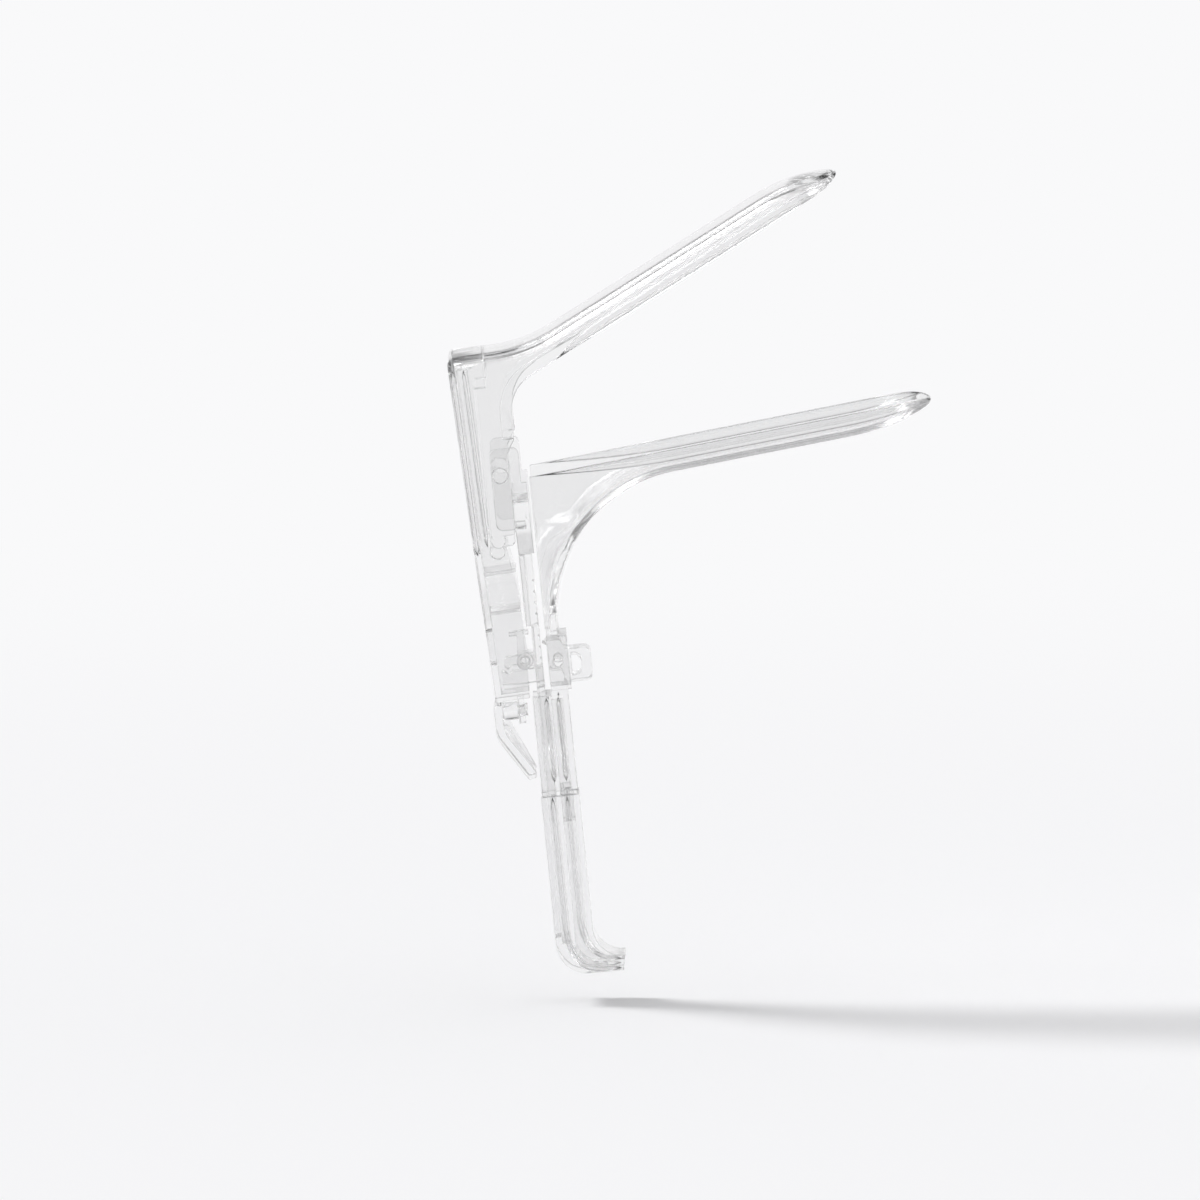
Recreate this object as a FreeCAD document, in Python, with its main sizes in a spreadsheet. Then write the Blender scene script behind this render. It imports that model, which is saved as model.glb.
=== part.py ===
"""Bivalve speculum of clear moulded plastic, as a parametric assembly.

The origin is the middle of the grip. X points to the tips of the blades, Y to the left of the
person who holds it and Z up along the grip. All sizes are in millimetres and degrees.
"""
import FreeCAD, Part
import Sketcher
import math
import os
import re

Vector = FreeCAD.Vector

SIZES = [
    # The hinge of the upper blade, and how far the frame behind it leans back
    ("pivot_x", -7.4),
    ("pivot_z", 102.6),
    ("frame_lean", 2.35),
    # Blades
    ("blade_wall", 2.0),
    ("side_wall", 1.8),
    ("upper_half_width", 15.0),
    ("nest_gap", 0.3),
    ("upper_depth", 7.9),
    ("lower_depth", 7.15),
    ("crown_radius", 60.0),
    ("crown_tilt", 5.0),
    ("corner_radius", 3.6),
    ("upper_start_behind", 1.3),
    ("upper_start_z", 136.2),
    ("upper_root_radius", 40.0),
    ("upper_angle", 26.6),
    ("upper_lead", 0.5),
    ("upper_straight", 64.8),
    ("upper_tip_radius", 41.5),
    ("upper_tip_turn", 29.8),
    ("lower_tip_radius", 64.0),
    ("lower_tip_turn", 21.6),
    ("tip_rounding", 13.0),
    ("lower_front_x", 4.0),
    ("lower_front_z", 60.0),
    ("lower_root_radius", 38.3),
    ("lower_angle", 5.5),
    ("lower_straight", 46.9),
    ("cheek_back_x", 0.3),
    ("flare_top_z", 88.0),
    ("flare_bottom_z", 62.0),
    ("flare_radius", 14.0),
    # Cheeks and straps of the upper blade
    ("cheek_front_x", -2.6),
    ("cheek_front_z", 112.0),
    ("cheek_fillet", 11.0),
    ("cheek_step_z", 126.3),
    ("cheek_flare", 4.0),
    ("rim_overlap", 0.8),
    ("rim_band", 3.1),
    ("rim_bead", 0.6),
    ("seat_gap", 0.2),
    ("strap_ahead", 2.4),
    ("strap_behind", 4.4),
    ("strap_drop", 18.9),
    ("strap_corner", 1.5),
    ("hook_behind", 2.6),
    ("hook_drop", 20.2),
    ("hook_radius", 1.9),
    ("trunnion_radius", 2.0),
    ("running_gap", 0.05),
    # Frame, measured square to its own back before it leans
    ("frame_back", 9.75),
    ("frame_corner", 3.2),
    ("frame_flange", 1.7),
    ("frame_flange_width", 3.4),
    ("frame_reach", 6.0),
    ("frame_wide_z", 76.0),
    ("frame_seat_x", -7.6),
    ("frame_foot_x", -5.5),
    ("frame_foot_rise", 8.0),
    ("ring_corner", 6.0),
    ("rib_low_rise", 23.6),
    ("rib_high_rise", 34.0),
    ("rib_front_x", -5.8),
    ("frame_bottom", 60.6),
    ("frame_sill", 21.0),
    ("frame_foot_half_width", 8.6),
    ("lug_back_x", -9.0),
    # Slide
    ("slide_front_x", -1.25),
    ("slide_thick", 2.1),
    ("column_back_x", -4.7),
    ("column_bottom_z", 61.0),
    ("slide_bottom_z", 15.6),
    ("yoke_front_x", -0.5),
    ("ear_behind", 2.3),
    ("ear_ahead", 5.5),
    ("ear_rise", 7.3),
    ("ear_corner", 1.6),
    ("slide_gap", 0.2),
    ("slide_side_gap", 0.3),
    ("yoke_bottom_drop", 18.6),
    ("yoke_top_drop", 6.1),
    ("yoke_rise", 4.0),
    ("yoke_radius", 6.0),
    ("gate_gap", 1.2),
    # Grip and sleeve
    ("grip_back_x", -5.2),
    ("grip_front_x", 5.05),
    ("grip_half_width", 8.5),
    ("grip_wall", 1.6),
    ("grip_top_z", 15.0),
    ("grip_lip", 3.5),
    ("web_wall", 1.05),
    ("foot_front_z", -29.2),
    ("foot_back_z", -33.1),
    ("foot_end_x", 12.9),
    ("foot_slant", 0.7),
    ("foot_wall", 1.1),
    ("foot_back_radius", 8.5),
    ("foot_front_radius", 8.0),
    ("spigot_wall", 0.9),
    ("sleeve_back_x", -4.8),
    ("sleeve_front_x", 4.8),
    ("spigot_length", 7.0),
    ("fit_gap", 0.05),
    ("cut_past", 1.0),
    ("round_rest", 0.1),
    # Collar and height latch
    ("collar_bottom_z", 43.5),
    ("collar_top_z", 58.0),
    ("collar_step", 1.5),
    ("collar_front_x", 5.8),
    ("collar_half_width", 9.5),
    ("latch_half_width", 5.0),
    ("latch_gap", 0.3),
    ("latch_pivot_x", 2.9),
    ("latch_pivot_rise", 7.4),
    ("pin_radius", 1.2),
    ("latch_hub_radius", 2.5),
    ("tab_front_x", 11.8),
    ("tab_drop", 6.0),
    ("tab_rise", 2.9),
    ("tab_corner", 1.9),
    ("ridge_margin", 1.75),
    ("ridge_back_x", 6.4),
    ("ridge_front_x", 9.0),
    ("nose_rise", 4.9),
    ("nose_release", 0.3),
    ("nose_dip", 0.8),
    ("notch_pitch", 3.0),
    ("notch_depth", 0.8),
    ("notch_count", 8),
    # Tilt rack and pawl
    ("rack_rise", 7.0),
    ("rack_height", 3.8),
    ("rack_half_width", 2.3),
    ("rack_front_x", -1.5),
    ("rack_back_x", -12.4),
    ("tooth_pitch", 3.7),
    ("tooth_depth", 0.9),
    ("tooth_count", 3),
    ("pawl_stand_off", 2.5),
    ("pawl_rise", 2.5),
    ("pawl_hub_radius", 2.2),
    ("pawl_half_width", 2.3),
    ("pawl_nose_x", -10.6),
    ("pawl_tail", 8.0),
    ("pawl_pad", 5.2),
    ("pawl_pad_height", 1.2),
    ("pawl_ear", 1.8),
    # Thumb lever
    ("peg_radius", 2.4),
    ("peg_drop", 3.8),
    ("peg_neck_radius", 1.45),
    ("lever_half_width", 8.6),
    ("lever_thick", 2.2),
    ("lever_back_x", -15.4),
    ("lever_top_rise", 2.6),
    ("lever_bend_drop", 6.2),
    ("lever_bend_radius", 8.0),
    ("lever_tip_x", -5.6),
    ("lever_reach", 18.1),
    ("lever_rib", 1.3),
]

DERIVED = [
    ("upper_inner_half", "upper_half_width - side_wall"),
    ("lower_inner_half", "upper_half_width + nest_gap"),
    ("lower_half_width", "lower_inner_half + side_wall"),
    # Where the lower blade's root bend would have its corner, where it ends, and the rim there
    ("lower_tangent", "lower_root_radius * tan(45 - lower_angle / 2)"),
    ("lower_corner_z", "lower_front_z + lower_tangent"),
    ("lower_blade_x", "lower_front_x + lower_tangent * cos(lower_angle)"),
    ("lower_blade_z", "lower_corner_z + lower_tangent * sin(lower_angle)"),
    ("lower_rim_x", "lower_blade_x - lower_depth * sin(lower_angle)"),
    ("lower_rim_z", "lower_blade_z + lower_depth * cos(lower_angle)"),
    ("cheek_reach", "lower_root_radius + lower_depth"),
    # Its tip: the corner of the last bend, how far the bend rises, and the end
    ("lower_tip_tangent", "lower_tip_radius * tan(lower_tip_turn / 2)"),
    ("lower_reach", "lower_tangent + lower_straight + lower_tip_tangent"),
    ("lower_tip_angle", "lower_angle + lower_tip_turn"),
    ("lower_tip_length", "lower_tip_radius * sin(lower_tip_turn)"),
    ("lower_tip_rise", "lower_tip_radius * (1 - cos(lower_tip_turn))"),
    ("lower_tip_back_x", "lower_blade_x + lower_straight * cos(lower_angle)"),
    ("lower_tip_x",
     "lower_tip_back_x + lower_tip_length * cos(lower_angle) - lower_tip_rise * sin(lower_angle)"),
    # The same for the upper blade, which starts behind the hinge
    ("upper_start_x", "pivot_x - upper_start_behind"),
    ("upper_tangent", "upper_root_radius * tan(upper_angle / 2)"),
    ("upper_corner_x", "upper_start_x + upper_lead + upper_tangent"),
    ("upper_blade_x", "upper_corner_x + upper_tangent * cos(upper_angle)"),
    ("upper_blade_z", "upper_start_z + upper_tangent * sin(upper_angle)"),
    ("upper_rim_x", "upper_blade_x + upper_depth * sin(upper_angle)"),
    ("upper_rim_z", "upper_blade_z - upper_depth * cos(upper_angle)"),
    ("upper_tip_tangent", "upper_tip_radius * tan(upper_tip_turn / 2)"),
    ("upper_reach", "upper_tangent + upper_straight + upper_tip_tangent"),
    ("upper_tip_angle", "upper_angle - upper_tip_turn"),
    ("upper_tip_length", "upper_tip_radius * sin(upper_tip_turn)"),
    ("upper_tip_rise", "upper_tip_radius * (1 - cos(upper_tip_turn))"),
    ("upper_tip_back_x", "upper_blade_x + upper_straight * cos(upper_angle)"),
    ("upper_tip_x",
     "upper_tip_back_x + upper_tip_length * cos(upper_angle) + upper_tip_rise * sin(upper_angle)"),
    # The straps and the slide's ears, about the hinge
    ("strap_front_x", "pivot_x + strap_ahead"),
    ("strap_back_x", "pivot_x - strap_behind"),
    ("strap_end_z", "pivot_z - strap_drop"),
    ("hook_x", "pivot_x - hook_behind"),
    ("hook_z", "pivot_z - hook_drop"),
    ("ear_front_x", "pivot_x + ear_ahead"),
    ("ear_back_x", "pivot_x - ear_behind"),
    ("ear_top_z", "pivot_z + ear_rise"),
    ("yoke_bottom_z", "pivot_z - yoke_bottom_drop"),
    ("yoke_top_z", "pivot_z - yoke_top_drop"),
    # The frame, up to the blade's root and down to its foot
    ("frame_top", "upper_start_z - pivot_z"),
    ("rib_low_z", "pivot_z - frame_bottom + rib_low_rise"),
    ("rib_high_z", "pivot_z - frame_bottom + rib_high_rise"),
    # The slide and the channel that it runs in
    ("slide_back_x", "slide_front_x - slide_thick"),
    ("slide_half_width", "grip_half_width - grip_wall - slide_side_gap"),
    ("channel_back_x", "slide_back_x - slide_gap"),
    ("channel_front_x", "slide_front_x + slide_gap"),
    ("sleeve_top_z", "collar_bottom_z - collar_step"),
    # The height latch, about its pin
    ("latch_pivot_z", "collar_bottom_z + latch_pivot_rise"),
    ("tab_bottom_z", "latch_pivot_z - tab_drop"),
    ("tab_top_z", "latch_pivot_z + tab_rise"),
    ("ridge_bottom_z", "tab_bottom_z + ridge_margin"),
    ("ridge_top_z", "tab_top_z - ridge_margin"),
    ("nose_z", "latch_pivot_z + nose_rise"),
    # The slide's lowest notch. Pressed home, the latch's nose dips into the next one above it
    ("first_notch_z", "nose_z - nose_dip - notch_pitch"),
    # The tilt rack above the frame's foot, the pawl's nose over it and the frame's window behind them
    ("rack_top_radius", "frame_bottom - rack_rise"),
    ("pawl_pivot_x", "slide_back_x - pawl_stand_off"),
    ("pawl_pivot_z", "pivot_z - rack_top_radius + pawl_rise"),
    ("pawl_tail_z", "pawl_pivot_z + pawl_tail"),
    ("window_half_width", "pawl_half_width * 1.6"),
    ("tooth_angle", "tooth_pitch / rack_top_radius * 180 / pi"),
    ("nose_angle", "asin((pawl_nose_x - pivot_x) / rack_top_radius) / 1 deg"),
    ("pawl_nose_z", "pivot_z - (rack_top_radius - nose_release) * cos(nose_angle)"),
    # The thumb lever, about its peg under the frame's foot
    ("peg_z", "pivot_z - frame_bottom - peg_drop"),
    ("lever_top_z", "peg_z + lever_top_rise"),
    ("lever_bend_z", "peg_z - lever_bend_drop"),
    ("lever_tip_z", "peg_z - lever_reach"),
]

doc = FreeCAD.newDocument("Speculum")
sheet = doc.addObject("Spreadsheet::Sheet", "Sizes")
for row, (alias, amount) in enumerate(SIZES, 1):
    sheet.set(f"A{row}", alias)
    sheet.set(f"B{row}", str(amount))
    sheet.setAlias(f"B{row}", alias)
for row, (alias, rule) in enumerate(DERIVED, len(SIZES) + 1):
    sheet.set(f"A{row}", alias)
    sheet.set(f"B{row}", "=" + rule)
    sheet.setAlias(f"B{row}", alias)
doc.recompute()

ALIASES = {alias for alias, _ in SIZES + DERIVED}


def bound(rule):
    """The rule with each size named as a cell of the sheet."""
    def named(word):
        return "Sizes." + word[0] if word[0] in ALIASES else word[0]

    return re.sub(r"[a-z_]+\b", named, str(rule))


def size(rule):
    """What the rule comes to now."""
    return float(sheet.evalExpression(bound(rule)))


def new_body(name):
    body = doc.addObject("PartDesign::Body", name)
    body.Label = name
    return body


def origin_plane(body, role):
    return next(item for item in body.Origin.OriginFeatures if item.Role == role)


def new_sketch(body, name, plane, away="0", at=("0", "0")):
    """An empty sketch on one of the body's own planes, its origin moved to the place given."""
    sketch = body.newObject("Sketcher::SketchObject", name)
    sketch.AttachmentSupport = [(origin_plane(body, plane), "")]
    sketch.MapMode = "FlatFace"
    places = {
        ".AttachmentOffset.Base.x": at[0],
        ".AttachmentOffset.Base.y": at[1],
        ".AttachmentOffset.Base.z": away,
    }
    for path, rule in places.items():
        if rule != "0":
            sketch.setExpression(path, bound(rule))
    return sketch


class Outline:
    """Draws sides and rounded corners into a sketch, each corner and radius bound to the sheet."""

    def __init__(self, sketch):
        self.sketch = sketch
        self.rules = []

    def fix(self, geometry, point, place):
        for kind, rule in zip(("DistanceX", "DistanceY"), place):
            index = self.sketch.addConstraint(Sketcher.Constraint(kind, -1, 1, geometry, point, size(rule)))
            self.rules.append((index, rule))

    def close(self):
        for index, rule in self.rules:
            self.sketch.setExpression(f"Constraints[{index}]", bound(rule))

    def circle(self, centre, radius):
        disc = Part.Circle(Vector(size(centre[0]), size(centre[1]), 0), Vector(0, 0, 1), size(radius))
        index = self.sketch.addGeometry(disc, False)
        self.fix(index, 3, centre)
        ring = self.sketch.addConstraint(Sketcher.Constraint("Radius", index, size(radius)))
        self.rules.append((ring, radius))

    def sides(self, corners, closed=True):
        """Straight sides from corner to corner. A corner is (x, y) or (x, y, radius)."""
        places = [Vector(size(c[0]), size(c[1]), 0) for c in corners]
        radii = [size(c[2]) if len(c) > 2 else 0.0 for c in corners]
        count = len(corners)
        cut_back = []
        for i in range(count):
            if not radii[i]:
                cut_back.append(0.0)
                continue
            arriving = (places[i] - places[i - 1]).normalize()
            leaving = (places[(i + 1) % count] - places[i]).normalize()
            turn = math.acos(max(-1.0, min(1.0, arriving.dot(leaving))))
            cut_back.append(radii[i] * math.tan(turn / 2))
        lines = []
        for i in range(count if closed else count - 1):
            after = (i + 1) % count
            way = (places[after] - places[i]).normalize()
            start, end = places[i] + way * cut_back[i], places[after] - way * cut_back[after]
            lines.append(self.sketch.addGeometry(Part.LineSegment(start, end), False))
        for i in range(count):
            before, after = lines[i - 1], lines[i % len(lines)]
            if not closed and i in (0, count - 1):
                self.fix(after if i == 0 else before, 1 if i == 0 else 2, corners[i])
            elif not radii[i]:
                self.sketch.addConstraint(Sketcher.Constraint("Coincident", before, 2, after, 1))
                self.fix(after, 1, corners[i])
            else:
                self.rounded(before, after, places[i], corners[i], radii[i])

    def rounded(self, before, after, place, corner, radius):
        sketch = self.sketch
        first, last = sketch.getPoint(before, 2), sketch.getPoint(after, 1)
        to_centre = ((first - place).normalize() + (last - place).normalize()).normalize()
        half = (first - place).getAngle(last - place) / 2
        centre = place + to_centre * (radius / math.sin(half))
        middle = centre - to_centre * radius
        arc = sketch.addGeometry(Part.Arc(first, middle, last), False)
        forward = sketch.getPoint(arc, 1).distanceToPoint(first) < 1e-6
        ends = (1, 2) if forward else (2, 1)
        sketch.addConstraint(Sketcher.Constraint("Tangent", before, 2, arc, ends[0]))
        sketch.addConstraint(Sketcher.Constraint("Tangent", arc, ends[1], after, 1))
        spot = sketch.addGeometry(Part.Point(place), True)
        self.fix(spot, 1, corner)
        sketch.addConstraint(Sketcher.Constraint("PointOnObject", spot, 1, before))
        sketch.addConstraint(Sketcher.Constraint("PointOnObject", spot, 1, after))
        ring = sketch.addConstraint(Sketcher.Constraint("Radius", arc, radius))
        self.rules.append((ring, corner[2]))


def drawn(body, name, plane, corners=(), discs=(), away="0", at=("0", "0")):
    """A sketch of one closed outline, or of round discs."""
    sketch = new_sketch(body, name, plane, away, at)
    outline = Outline(sketch)
    if corners:
        outline.sides(corners)
    for centre, radius in discs:
        outline.circle(centre, radius)
    outline.close()
    doc.recompute()
    return sketch


def pad(body, sketch, length, both_ways=True, flip=False):
    """Material along the sketch's normal, half to each side where it goes both ways."""
    return extruded(body, "PartDesign::Pad", sketch, length, both_ways, flip)


def pocket(body, sketch, length, both_ways=True, flip=False):
    """A cut along the sketch's normal, checked to take material away."""
    before = body.Shape.Volume
    cut = extruded(body, "PartDesign::Pocket", sketch, length, both_ways, flip)
    if not body.Shape.Volume < before - 1e-6:
        raise ValueError(f"{cut.Name} cuts nothing")
    return cut


def extruded(body, kind, sketch, length, both_ways, flip):
    feature = body.newObject(kind, sketch.Name + "_" + kind.split("::")[1].lower())
    feature.Profile = sketch
    feature.SideType = "Symmetric" if both_ways else "One side"
    feature.setExpression("Length", bound(length))
    feature.Reversed = flip
    doc.recompute()
    return feature


def box_outline(left, bottom, right, top):
    return [(left, bottom), (right, bottom), (right, top), (left, top)]


def crown(half, depth, inset="0"):
    """One side of a blade's section: rim, shoulder, middle, shoulder, rim, as (across, up).

    The crown's top is at height 0. inset is how far the line lies inside the outer one.
    """
    radius = f"(crown_radius - {inset})"
    middle = f"({radius} * (1 / cos(crown_tilt) - 1) - {inset})"
    shoulder = f"({middle} - ({half}) * tan(crown_tilt))"
    rim = f"(-({depth}))"
    corner = f"corner_radius - {inset}"
    return [
        (f"-({half})", rim),
        (f"-({half})", shoulder, corner),
        ("0", middle, radius),
        (f"{half}", shoulder, corner),
        (f"{half}", rim),
    ]


def blade_section(half, inner_half, depth):
    """The closed band of a blade's section: its outer line and, back again, its inner one."""
    return crown(half, depth) + crown(inner_half, depth, "blade_wall")[::-1]


def swept(body, section, path):
    pipe = body.newObject("PartDesign::AdditivePipe", section.Name + "_sweep")
    pipe.Profile = section
    pipe.Spine = (path, [f"Edge{i + 1}" for i in range(len(path.Shape.Edges))])
    doc.recompute()
    return pipe


def turned(body, sketch, angle):
    """Material swept round the sketch's own upright axis."""
    wheel = body.newObject("PartDesign::Revolution", sketch.Name + "_turned")
    wheel.Profile = sketch
    wheel.ReferenceAxis = (sketch, ["V_Axis"])
    wheel.setExpression("Angle", bound(angle))
    doc.recompute()
    if wheel.Shape.BoundBox.ZMin < size("lower_front_z") - 1:
        wheel.Reversed = True
        doc.recompute()
    return wheel


def mirrored(body, feature):
    """The same feature again on the other side of the middle plane."""
    twin = body.newObject("PartDesign::Mirrored", feature.Name + "_twin")
    twin.Originals = [feature]
    twin.MirrorPlane = (origin_plane(body, "XZ_Plane"), [""])
    body.Tip = twin
    doc.recompute()
    return twin


def plates(body, sketch, thickness, corners=(), discs=()):
    """Two like plates, one on each side, from the sketch outwards."""
    outline = Outline(sketch)
    if corners:
        outline.sides(corners)
    for centre, radius in discs:
        outline.circle(centre, radius)
    outline.close()
    doc.recompute()
    return mirrored(body, pad(body, sketch, thickness, both_ways=False))


def route(body, name, corners):
    """An open path of straight runs and arcs in the body's XZ plane."""
    sketch = new_sketch(body, name, "XZ_Plane")
    outline = Outline(sketch)
    outline.sides(corners, closed=False)
    outline.close()
    doc.recompute()
    return sketch


def upper_line(along, up="0"):
    """A place on the upper blade's rim line: along it from the root's end, and square to it."""
    return (
        f"upper_rim_x + ({along}) * cos(upper_angle) - ({up}) * sin(upper_angle)",
        f"upper_rim_z + ({along}) * sin(upper_angle) + ({up}) * cos(upper_angle)",
    )


def lower_line(along, up="0"):
    """The same on the lower blade's rim line."""
    return (
        f"lower_rim_x + ({along}) * cos(lower_angle) - ({up}) * sin(lower_angle)",
        f"lower_rim_z + ({along}) * sin(lower_angle) + ({up}) * cos(lower_angle)",
    )


def rounded_tip(body, name, tip_x, half, foot_z):
    """Cuts the corners off a blade's end, seen from above."""
    beyond, beside = f"{tip_x} + tip_rounding", f"{half} + tip_rounding"
    behind = f"{tip_x} - tip_rounding * 1.6"
    corners = [(beyond, beside), (behind, beside), (behind, half), (tip_x, half, "tip_rounding")]
    other_side = [(x, f"-({y})", *rest) for x, y, *rest in corners[::-1]]
    outside = drawn(body, name, "XY_Plane", corners + other_side, away=foot_z)
    pocket(body, outside, "lower_straight * 2", both_ways=False, flip=True)


def upper_blade():
    """Trough with its tip turned down to the rim, two cheeks and two straps with trunnion holes."""
    body = new_body("upper_blade")
    section = drawn(
        body, "upper_section", "YZ_Plane",
        blade_section("upper_half_width", "upper_inner_half", "upper_depth"),
        away="upper_start_x", at=("0", "upper_start_z"),
    )
    corner = ("upper_corner_x", "upper_start_z", "upper_root_radius")
    tip = (
        "upper_corner_x + upper_reach * cos(upper_angle)",
        "upper_start_z + upper_reach * sin(upper_angle)",
        "upper_tip_radius",
    )
    end = (
        f"{tip[0]} + (upper_tip_tangent + fit_gap) * cos(upper_tip_angle)",
        f"{tip[1]} + (upper_tip_tangent + fit_gap) * sin(upper_tip_angle)",
    )
    path = route(body, "upper_path", [("upper_start_x", "upper_start_z"), corner, tip, end])
    swept(body, section, path)
    below = drawn(body, "upper_rim_cut", "XZ_Plane", [
        upper_line("-upper_straight"), upper_line("upper_straight * 2"),
        upper_line("upper_straight * 2", "-upper_straight"),
        upper_line("-upper_straight", "-upper_straight"),
    ])
    pocket(body, below, "upper_half_width * 4")
    rounded_tip(body, "upper_tip_corners", "upper_tip_x", "upper_half_width + fit_gap", "upper_rim_z")
    cheek = new_sketch(body, "cheek", "XZ_Plane", "upper_inner_half")
    plates(body, cheek, "side_wall", [
        ("upper_start_x", "upper_start_z - upper_depth + rim_overlap"),
        ("upper_start_x", "cheek_step_z"),
        ("strap_back_x", "cheek_step_z"),
        ("strap_back_x", "strap_end_z"),
        ("strap_front_x", "strap_end_z", "strap_corner"),
        ("strap_front_x", "cheek_front_z - cheek_flare", "strap_corner"),
        ("cheek_front_x", "cheek_front_z", "strap_corner"),
        ("cheek_front_x", "upper_rim_z - (upper_rim_x - cheek_front_x) * tan(upper_angle)", "cheek_fillet"),
        upper_line("rim_overlap * 8"),
        upper_line("rim_overlap * 8", "rim_overlap"),
        ("upper_corner_x", "upper_start_z - upper_depth + rim_overlap",
         "upper_root_radius + upper_depth - rim_overlap"),
    ])
    bead = new_sketch(body, "rim_bead", "XZ_Plane", "upper_inner_half - rim_bead")
    fold_z = "upper_rim_z - (upper_rim_x - {0}) * tan(upper_angle)"
    plates(body, bead, "rim_bead + side_wall / 2", [
        ("cheek_front_x - rim_band", "cheek_front_z"),
        ("cheek_front_x", "cheek_front_z"),
        ("cheek_front_x", fold_z.format("cheek_front_x"), "cheek_fillet"),
        upper_line("upper_straight"),
        upper_line("upper_straight", "rim_band"),
        ("cheek_front_x - rim_band",
         fold_z.format("(cheek_front_x - rim_band)") + " + rim_band / cos(upper_angle)",
         "cheek_fillet + rim_band"),
    ])
    hook = new_sketch(body, "strap_hook", "XZ_Plane", "upper_inner_half")
    plates(body, hook, "side_wall", discs=[(("hook_x", "hook_z"), "hook_radius")])
    bores = drawn(body, "trunnion_bores", "XZ_Plane", discs=[
        (("pivot_x", "pivot_z"), "trunnion_radius + running_gap")])
    pocket(body, bores, "upper_half_width * 3")
    return body


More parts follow.
